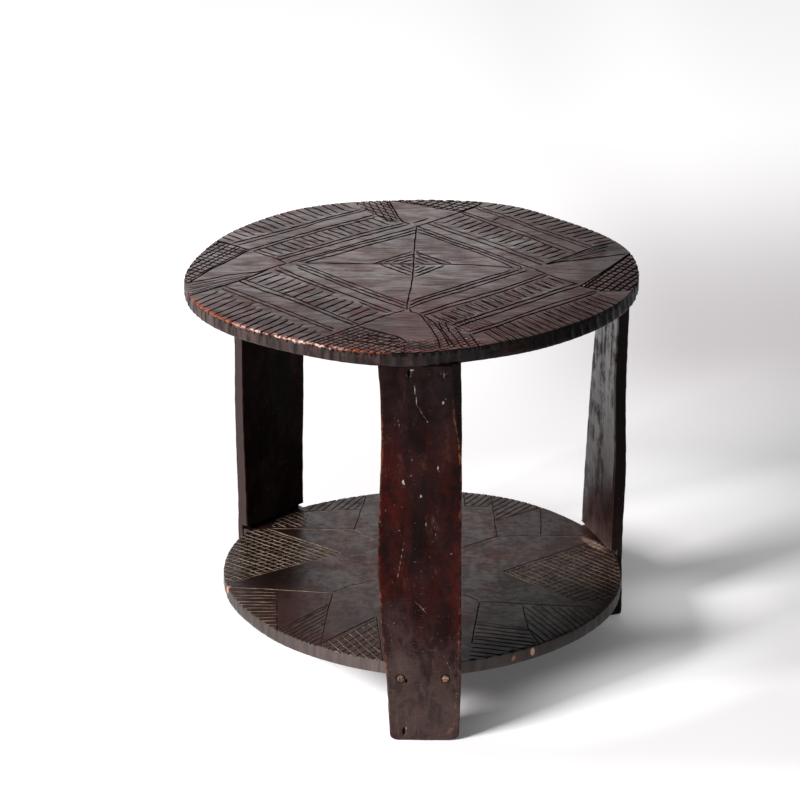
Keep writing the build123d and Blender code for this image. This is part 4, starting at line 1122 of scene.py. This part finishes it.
def leg_material(name, colours):
    """Leg timber: long grain up the leg, deep red in its middle where hands rub it, black above, paler and
    greyer to the foot, red-brown worn edges, pale nicks and black slits, dark rings round its pegs, and a
    patchy polish.  The left leg's dimming and the narrow sides' tones of the left and right legs are painted
    light and shade."""
    front = name == "front"
    shade, polish, narrow = LEG_LOOKS[name]
    azimuth = math.radians(LEGS[name]["azimuth"])

    def wear(n, where):
        if not front:
            return n.mark("wear") * 0.62
        ragged = n.span(n.noise(where, 190.0, 4.0, 0.65), 0.36, 0.62, 0.62, 1.35)
        return n.mark("wear") * ragged * n.span(n.axes(where)[2], 0.42, 0.36, 0.75, 1.2)

    def finish(n, where, base, roughness, height):
        x, _, z = n.axes(where)
        slow = n.noise(n.stretch(where, (1, 1, 0.45)), 16.0, 4.0, 0.6)
        uneven = z + (slow - 0.5) * 0.28
        if front:
            middle = n.span(uneven, 0.10, 0.20) * n.span(uneven, 0.39, 0.33)
            sides = n.math("MAXIMUM", n.span(x, 0.004, -0.020), n.span(x, 0.022, 0.044, 0.0, 0.7))
            red = middle * (sides * 0.75 + 0.28) * n.span(slow, 0.30, 0.62)
            base = n.mix(red, base, (0.034, 0.0030, 0.0015))
        foot = n.span(uneven, 0.17, 0.05)
        calm = 1.0 - foot * 0.5
        mottle = n.noise(n.stretch(where, (1, 1, 0.55)), 62.0, 6.0, 0.72, 0.3)
        grit = n.noise(n.stretch(where, (1, 1, 1.6)), 300.0, 5.0, 0.75)
        scores = n.span(n.noise(n.stretch(where, (0.16, 0.16, 1.0)), 420.0, 2.0, 0.6), 0.60, 0.72, 0.0, 0.38)
        scored = n.span(z, 0.03, 0.07, 0.35, 1.0) * n.span(uneven, 0.20, 0.12)
        scored = scored * n.span(n.noise(where, 45.0, 3.0), 0.40, 0.62)
        hairs = n.span(n.noise(n.stretch(where, (1, 1, 0.10)), 360.0, 2.0, 0.6), 0.62, 0.74, 0.0, 0.30)
        base = n.over(
            base, (foot * 0.62, (0.080, 0.055, 0.050)),
            (n.span(uneven, 0.30, 0.38) * 0.7, (0.0098, 0.0050, 0.0055)),
            (n.span(mottle, 0.54, 0.40, 0.0, 0.72) * calm, (0.0026, 0.0012, 0.0012)),
            (n.span(mottle, 0.56, 0.70, 0.0, 0.45), (0.058, 0.0230, 0.0170)),
            (n.span(grit, 0.52, 0.36, 0.0, 0.5) * calm, (0.0060, 0.0026, 0.0024)),
            (n.math("MAXIMUM", scores * scored, hairs * foot), (0.110, 0.072, 0.060)))
        # painted shade: a leg whose dimming is below 1 is darkened all over
        if shade < 1.0:
            base = n.mix(1.0 - shade, base, BLACK)
        chip = n.mark("nick") + (n.noise(where, 420.0, 2.0) - 0.5) * 0.7
        speck = n.span(n.noise(n.stretch(where, (1, 1, 0.6)), 520.0, 2.0, 0.6), 0.69, 0.78)
        speck = speck * n.span(n.noise(where, 26.0, 3.0), 0.46, 0.60)
        # the narrow sides take their leg's tone: painted light on the left leg, painted shade on the right
        # leg
        base = n.over(
            base, (n.mark("narrow") * 0.75, narrow), (n.span(chip, 0.32, 1.0), (0.36, 0.30, 0.28)),
            (n.span(n.mark("slit"), 0.15, 0.5), (0.002, 0.0015, 0.0015)), (speck * 0.65, (0.26, 0.16, 0.125)))
        for side in ("low", "high"):
            low, high = (np.array(c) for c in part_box(f"shelf_peg_{name}_{side}"))
            radius = (high - low)[2] / 2
            away = n.reach(where, tuple((low + high) / 2), (10.0, radius, radius), azimuth)
            away = away + (n.noise(where, 320.0, 2.0) - 0.5) * 0.5
            base = n.mix(n.span(away, 1.50, 1.10, 0.0, 0.8), base, (0.003, 0.0018, 0.0016))
        if polish > 0.3:
            patches = n.noise(n.stretch(where, (1, 1, 0.10)), 75.0, 6.0, 0.72) * 0.6
            patches = patches + n.noise(where, 60.0, 5.0, 0.7) * 0.4
            patches = n.span(patches, 0.41, 0.54) * n.span(z, 0.12, 0.36, 0.48, 1.15)
        else:
            patches = n.span(n.noise(n.stretch(where, (1, 1, 0.35)), 30.0, 5.0, 0.68), 0.42, 0.62)
        return base, roughness, height, patches * ((1.0 - n.mark("narrow")) * polish)

    return timber(f"{name} leg timber", colours.leg_dark, colours.leg_mid, (0.034, 0.0065, 0.0036),
                  (0.17, 0.058, 0.032), finish, grain=0.8, smooth=0.24, rough=0.50, bump=0.00022,
                  specular=0.03, wear=wear)


def top_material(name, colours):
    """The top's finish: its rim is painted palest on the left, where the light falls, and near black in
    front, a zone of painted shade darkens the right of its face, red glints are painted on its front
    crosshatch, and its polish lies in streaks."""
    # the rim's ramp is painted light, palest on the lit left, and painted shade to the right
    rim_light_ramp = [(place, tint(colours.rim, shares)) for place, shares in (
        (0.06, (1.18, 1.14, 1.14)), (0.40, (0.50, 0.38, 0.36)), (0.58, (0.27, 0.25, 0.25)),
        (0.85, (0.12, 0.12, 0.13)))]
    # painted shade over the right of the face, and painted red glints: highlights on the ridges of the front
    # crosshatch
    zones = ((0.0, 0.20, -1.0, -0.9, 0.5, False, (0.034, 0.0205, 0.0185)),
             (0.11, 0.04, -0.200, -0.226, 0.90, True, (0.190, 0.0420, 0.0220)))
    tones = (colours.top_dark, colours.top_mid, colours.top_warm)
    return board_material(name, tones, colours, rim_light_ramp, 0.30, 3.4, (0.32, 1.0, 0.66), 0.20, 0.12, zones,
                          smudges=TOP_SMUDGES)


def shelf_material(name, colours):
    """The shelf's finish: it has dusty grooves, dark places painted where the legs' shadow falls, and little
    polish.
    """
    # the rim's ramp is painted light in the middle and painted shade at the ends, darkest on the right
    rim_light_ramp = [(place, tint(colours.shelf_rim, share)) for place, share in (
        (0.15, 0.56), (0.45, 1.15), (0.85, (0.36, 0.38, 0.39)))]
    # painted shadow: a dark tone laid at the shelf's front right and on its left, where the legs' shadow
    # falls
    shadow = tint(colours.shelf_dark, 0.4)
    zones = ((0.00, 0.12, 0.06, -0.06, 0.95, False, shadow),
             (-0.085, -0.15, -0.06, -0.03, 0.75, False, shadow))
    tones = (colours.shelf_dark, colours.shelf_mid, colours.shelf_warm)
    return board_material(name, tones, colours, rim_light_ramp, 0.72, 1.2, (0.14, 0.36, 0.36), 0.8, 0.07, zones,
                          spots=SHELF_SPOTS, dust=True)


def peg_material(name, pale):
    """Mottled end grain, paler towards the right."""
    def finish(n, where, base, roughness, height):
        lump = n.noise(where, 420.0, 3.0, 0.6)
        right = n.span(n.axes(where)[0], 0.010, 0.040)
        base = n.over(base, (n.span(lump, 0.46, 0.62), tint(pale, 2.6)),
                      (right * n.span(lump, 0.44, 0.60, 0.0, 0.9), (0.30, 0.155, 0.105)),
                      (n.span(lump, 0.47, 0.38), tint(pale, 0.15)))
        return base, roughness, height + lump * 4.0, 0.0

    return timber(name, tint(pale, 0.35), pale, tint(pale, 1.2), tint(pale, 2.2), finish, grain=1.6,
                  smooth=0.45, rough=0.7, bump=0.0003, specular=0.15, scuffs=0.2)


# ---- Operators -----------------------------------------------------------------------------------
def board_strokes(lines, ladders, fields, settings, seed, fine=1.0, rim=None):
    """All of a board's strokes from its tables, measured from the table's axis; fine narrows them all, and
    long ladders run out over a rim of the radius given."""
    strokes = Strokes(seed)
    line_w, line_d = fine * settings.line_width / MM / 2, settings.line_depth / MM
    hatch_w, hatch_d = fine * settings.hatch_width / MM / 2, settings.hatch_depth / MM
    for line in lines:
        strokes.add(line, line_w, line_d, wobble=0.2)
    for ladder in ladders:
        strokes.ladder(*ladder, hatch_w, hatch_d, rim=rim)
    for corners, *hatchings in fields:
        for heading, spacing, wide in hatchings:
            strokes.field(corners, heading, spacing, hatch_w * wide, hatch_d * 0.80)
    return strokes


def top_strokes(settings):
    """All the top's carving, with the fine strokes between some rungs."""
    rim = TOP_RADIUS + 4
    strokes = board_strokes(TOP_LINES, TOP_LADDERS, TOP_FIELDS, settings, 3, rim=rim)
    for ladder in TOP_FEATHERS:
        strokes.ladder(*ladder, settings.hatch_width / MM * 0.26, settings.hatch_depth / MM * 0.6, 0.8, rim)
    return strokes


class DRUMTABLE_OT_top(bpy.types.Operator):
    """Carve the round top with its pockets for the filler"""
    bl_idname = "drumtable.top"
    bl_label = "Carved Top"

    def execute(self, context):
        settings, colours = context.scene.drumtable_carving, context.scene.drumtable_timber
        low, high = (np.array(c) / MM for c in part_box("tabletop"))
        turn = np.arange(56) * math.tau / 56
        outer, outer_low = (lambda theta, wander=wander: rim_radius(theta, TOP_RADIUS, wander)
                            for wander in (TOP_WANDER, TOP_LOW_WANDER))
        holes = [filler_outline(leg, turn, grow=0.06) for leg in LEGS.values()]
        # the arris is worn, and carries a painted highlight, over the left-front arc given last
        top = carved_board("carved_top", AXIS, low[2], high[2], outer, outer_low, top_strokes(settings),
                           settings, TOP_SEED, marks_of=(1.35, 1.25), run_out=3.0, holes=holes,
                           worn_and_glint_turns=(196, 268))
        dress(top, top_material("carved top timber", colours), "tabletop")
        return {"FINISHED"}


class DRUMTABLE_OT_shelf(bpy.types.Operator):
    """Carve the lower shelf with its tongues in the legs' housings"""
    bl_idname = "drumtable.shelf"
    bl_label = "Carved Shelf"

    def execute(self, context):
        settings, colours = context.scene.drumtable_carving, context.scene.drumtable_timber
        low, high = (np.array(c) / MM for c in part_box("lower_shelf"))
        shift = np.array([SHELF_SHIFT, 0.0])
        strokes = board_strokes(SHELF_LINES, SHELF_LADDERS, SHELF_FIELDS, settings, 5, 0.76)
        strokes.items = [(line - shift, across, w, d) for line, across, w, d in strokes.items]
        tongues = []
        for leg in LEGS.values():
            a, b = (side[0] for side in leg_sides(leg, np.array([high[2]])))
            tongues.append((leg, a + TONGUE_INSET, b - TONGUE_INSET))

        def flat_end(leg, theta):
            """Radius to a housing's floor along each angle, and how far sideways on the leg that is."""
            out, side = out_to(leg, 1.0, 0.0), out_to(leg, 0.0, 1.0)
            ray = np.stack([np.cos(theta), np.sin(theta)], -1)
            toward = ray @ out
            floor = (leg["inner"] + HOUSING_DEPTH - shift @ out) / np.maximum(toward, 0.5)
            face = np.where(toward > 0.5, floor, 1e6)
            return face, face * (ray @ side) + shift @ side

        def radius(theta):
            """The outline's radius, flat where a tongue meets its housing's floor, and clear of the legs."""
            r = rim_radius(theta, SHELF_RADIUS, SHELF_WANDER)
            for leg, a, b in tongues:
                face, wide = flat_end(leg, theta)
                by_leg = (wide > min(leg["low"]) - 8) & (wide < max(leg["high"]) + 8)
                r = np.where(by_leg, np.minimum(r, face), r)
                r = np.where((wide > a) & (wide < b), face, r)
            return r

        def on_tongue(theta):
            """Whether an angle runs into a leg."""
            wides = [(flat_end(leg, theta)[1], a, b) for leg, a, b in tongues]
            return np.any([(wide > a - 9) & (wide < b + 9) for wide, a, b in wides], axis=0)

        corners = []
        for leg, *ends in tongues:
            for wide in ends:
                x, y = out_to(leg, leg["inner"] + HOUSING_DEPTH, wide) - shift
                corners += [math.atan2(y, x) - 4e-4, math.atan2(y, x) + 4e-4]
        shelf = carved_board("carved_shelf", AXIS + shift, low[2], high[2], radius, radius, strokes, settings,
                             21, marks_of=(1.6, 0.5), run_out=0.5, extra_turns=corners, plain_rim=on_tongue)
        dress(shelf, shelf_material("carved shelf timber", colours), "lower_shelf")
        return {"FINISHED"}


class DRUMTABLE_OT_legs(bpy.types.Operator):
    """Hew the three plank legs"""
    bl_idname = "drumtable.legs"
    bl_label = "Plank Legs"

    def execute(self, context):
        rng = np.random.default_rng(31)
        for name, leg in LEGS.items():
            dents = [(face, rng.uniform(-30, 45), rng.uniform(10, 425), *rng.uniform(0.6, 2.0, 2),
                      rng.uniform(0.2, 0.6), rng.uniform(0.0, 0.70), 0.0)
                     for face in (1, 2) for _ in range(30)]
            lines, wane, foot_round, grid = (), None, (8.0, 8.0), 3.0
            if name == "front":
                dents += [(1, *dent) for dent in FRONT_LEG_DENTS]
                lines = [(1, *line) for line in FRONT_LEG_LINES]
                wane, grid = (10.0, 9.0, 315.0), 1.5
            elif name == "right":
                foot_round = (10.0, 8.0)
            obj = hewn_leg(f"hewn_leg_{name}", leg, 40 + len(name), dents, lines, wane, foot_round, grid)
            dress(obj, leg_material(name, context.scene.drumtable_timber), f"leg_{name}")
        return {"FINISHED"}


class DRUMTABLE_OT_pegs(bpy.types.Operator):
    """Shape the shelf's pegs and finish the hidden pegs of the top"""
    bl_idname = "drumtable.pegs"
    bl_label = "Pegs"

    def execute(self, context):
        material = peg_material("peg timber", context.scene.drumtable_timber.peg)
        for name, leg in LEGS.items():
            out = np.array([*out_to(leg, 1.0, 0.0), 0.0])
            along = 0 if abs(out[0]) > 0.7 else 1
            for side in ("low", "high"):
                node = f"shelf_peg_{name}_{side}"
                low, high = (np.array(c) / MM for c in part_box(node))
                half, middle = (high - low) / 2, (high + low) / 2
                radius = half[2]
                reach = (half[along] - radius * abs(out[1 - along])) / abs(out[along])
                profile = [(-reach + 0.1, radius * 0.8), (-reach + 1.2, radius - 0.1),
                           (reach - 0.75, radius - 0.1), (reach - 0.3, radius * 0.93),
                           (reach - 0.08, radius * 0.78), (reach - 0.02, radius * 0.3)]
                peg = lathe(f"peg_{name}_{side}", profile, middle, out, 0.06, len(name) + len(side))
                dress(peg, material, node)
                coat(bpy.data.objects[f"top_peg_{name}_{side}"], material)
        return {"FINISHED"}


class DRUMTABLE_OT_filler(bpy.types.Operator):
    """Press the dark filling into the pockets over the top pegs"""
    bl_idname = "drumtable.filler"
    bl_label = "Filler"

    def execute(self, context):
        settings = context.scene.drumtable_carving
        material = top_material("dark filler", context.scene.drumtable_timber)
        strokes = top_strokes(settings)
        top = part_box("tabletop")[1][2] / MM
        turn = np.arange(112) * math.tau / 112
        for name, leg in LEGS.items():
            ring = filler_outline(leg, turn)
            middle = ring.mean(0)
            rows, cuts = [], []
            face_rows = [(share, 0.0) for share in np.linspace(0.985, 0.04, 24)]
            for share, fall in ((1.0, 2.3), (1.0, 0.10), *face_rows):
                xy = middle + (ring - middle) * share
                cut = strokes.sink(xy) * (fall < 1)
                level = top - 0.03 - fall - planing(xy, settings, TOP_SEED) - cut
                rows.append(np.column_stack([xy + AXIS, level]))
                cuts.append(cut / (settings.line_depth / MM))
            patch = put_mesh(f"filler_patch_{name}", np.concatenate(rows),
                             strip_faces(len(rows), len(turn), capped=True), cut=np.concatenate(cuts))
            dress(patch, material, f"filler_{name}")
        return {"FINISHED"}


class DRUMTABLE_OT_stage(bpy.types.Operator):
    """Set the floor, the backdrop, the lamps and the camera"""
    bl_idname = "drumtable.stage"
    bl_label = "Stage"

    def execute(self, context):
        scene, stage = context.scene, context.scene.drumtable_stage
        turn = np.arange(48) * math.tau / 48
        rings = [np.column_stack([around(radius, turn), np.full(48, -0.0001)])
                 for radius in (*np.linspace(0.4, 4.0, 10), 6.0, 9.0, 14.0)]
        floor = put_mesh("floor", np.concatenate(rings) / MM, strip_faces(len(rings), 48) + [list(range(48))])
        material, n, shader = new_material("pale floor")
        where = n.where()
        x, y, _ = n.axes(where)
        # painted light on the floor: its emission lays pools of light, glows near the camera, under the shelf
        # and far off, and lifts the shadows on the right; the shade band far off on the right is painted
        # shade
        spot = 0.0
        for place, size, angle, power in FLOOR_POOLS:
            pool = n.reach(where, (*place, 0.0), (*size, 1.0), angle)
            spot = n.span(pool, 1.0, 0.1, 0.0, power) + spot
        shade = n.span(y, 0.46, 0.95) * n.span(y, 2.1, 0.95) * n.span(x, 0.02, 0.42, 0.0, 0.85)
        near = n.span(y, -0.27, -0.47)
        under = n.span(x, 0.02, -0.10) * n.span(y, 0.02, -0.16)
        beyond = n.span(y, 0.25, 1.7) * n.span(x, 0.7, -0.1, 0.62, 1.0)
        lit = n.math("MAXIMUM", n.math("MAXIMUM", near, under), beyond)
        lift = n.span(x, 0.18, 0.50) * n.span(y, -0.18, 0.05, 0.0, 0.15)
        glow = n.math("ADD", lit * 0.50, lift + 0.07, clamp=True) * (1.0 - shade) + spot
        for key, value in (
                ("Base Color", n.mix(shade, stage.floor, stage.shade)), ("Roughness", 0.9),
                ("Emission Color", n.mix(glow, BLACK, (1, 1, 1))), ("Emission Strength", 1.0),
                ("Specular IOR Level", 0.1)):
            n.join(value, shader[key])
        floor.data.materials.append(material)

        world = scene.world = bpy.data.worlds.new("studio")
        world.use_nodes = True
        n = Nodes(world.node_tree)
        background = world.node_tree.nodes["Background"].inputs
        x, y, _ = n.axes(n.new("ShaderNodeTexCoord", "Generated"))
        n.join(n.span(y, -0.3, 0.85, 0.13, 0.34) + x * -0.07, background["Strength"])
        n.join((0.985, 0.98, 1.0, 1), background["Color"])

        def lamp(name, place, target, size, power, tone=(1, 1, 1)):
            """A square lamp that looks at a place."""
            data = bpy.data.lights.new(name, "AREA")
            data.shape = "RECTANGLE"
            data.size, data.size_y = size
            data.energy = power
            data.color = tone
            obj = bpy.data.objects.new(name, data)
            obj.location = place
            obj.rotation_euler = (Vector(target) - Vector(place)).to_track_quat("-Z", "Y").to_euler()
            scene.collection.objects.link(obj)
            return obj

        lamp("window", (-3.0, -1.95, 2.2), (0, 0, 0.25), (1.2, 1.2), 310, (1.0, 0.985, 0.97))
        panel = lamp("back panel", (-0.42, 1.62, 0.76), (-0.2, 0.0, 0.44), (1.25, 0.5), 2.4)
        panel.visible_camera = False

        lens = bpy.data.cameras.new("camera")
        lens.lens = 135.0
        lens.sensor_width = 36.0
        lens.clip_end = 100
        camera = bpy.data.objects.new("camera", lens)
        camera.location = (AXIS[0] * MM, AXIS[1] * MM - stage.camera_distance, stage.camera_height)
        camera.rotation_euler = (math.pi / 2 - CAMERA_DIP, 0, CAMERA_TURN)
        scene.collection.objects.link(camera)
        scene.camera = camera
        scene.view_settings.view_transform = "Standard"
        return {"FINISHED"}


class DRUMTABLE_PT_panel(bpy.types.Panel):
    """The table's pieces and settings"""
    bl_idname = "DRUMTABLE_PT_panel"
    bl_label = "Carved Drum Table"
    bl_space_type = "VIEW_3D"
    bl_region_type = "UI"
    bl_category = "Carved Table"

    def draw(self, context):
        for operator in OPERATORS:
            self.layout.operator(operator.bl_idname)
        for group in GROUPS:
            settings = getattr(context.scene, group)
            box = self.layout.box()
            for key in settings.__annotations__:
                box.prop(settings, key)


GROUPS = {"drumtable_carving": CarvingSettings, "drumtable_timber": TimberSettings,
          "drumtable_stage": StageSettings}
OPERATORS = (DRUMTABLE_OT_top, DRUMTABLE_OT_shelf, DRUMTABLE_OT_legs, DRUMTABLE_OT_pegs, DRUMTABLE_OT_filler,
             DRUMTABLE_OT_stage)


def register():
    """Make the settings, the operators and the panel known to Blender."""
    for name, group in GROUPS.items():
        bpy.utils.register_class(group)
        setattr(bpy.types.Scene, name, bpy.props.PointerProperty(type=group))
    for cls in (*OPERATORS, DRUMTABLE_PT_panel):
        bpy.utils.register_class(cls)


def unregister():
    """Take them away again."""
    for cls in reversed((*OPERATORS, DRUMTABLE_PT_panel)):
        bpy.utils.unregister_class(cls)
    for name, group in GROUPS.items():
        delattr(bpy.types.Scene, name)
        bpy.utils.unregister_class(group)


def main():
    """Build every piece in turn."""
    register()
    bpy.ops.drumtable.top()
    bpy.ops.drumtable.shelf()
    bpy.ops.drumtable.legs()
    bpy.ops.drumtable.pegs()
    bpy.ops.drumtable.filler()
    bpy.ops.drumtable.stage()


if __name__ == "__main__":
    main()
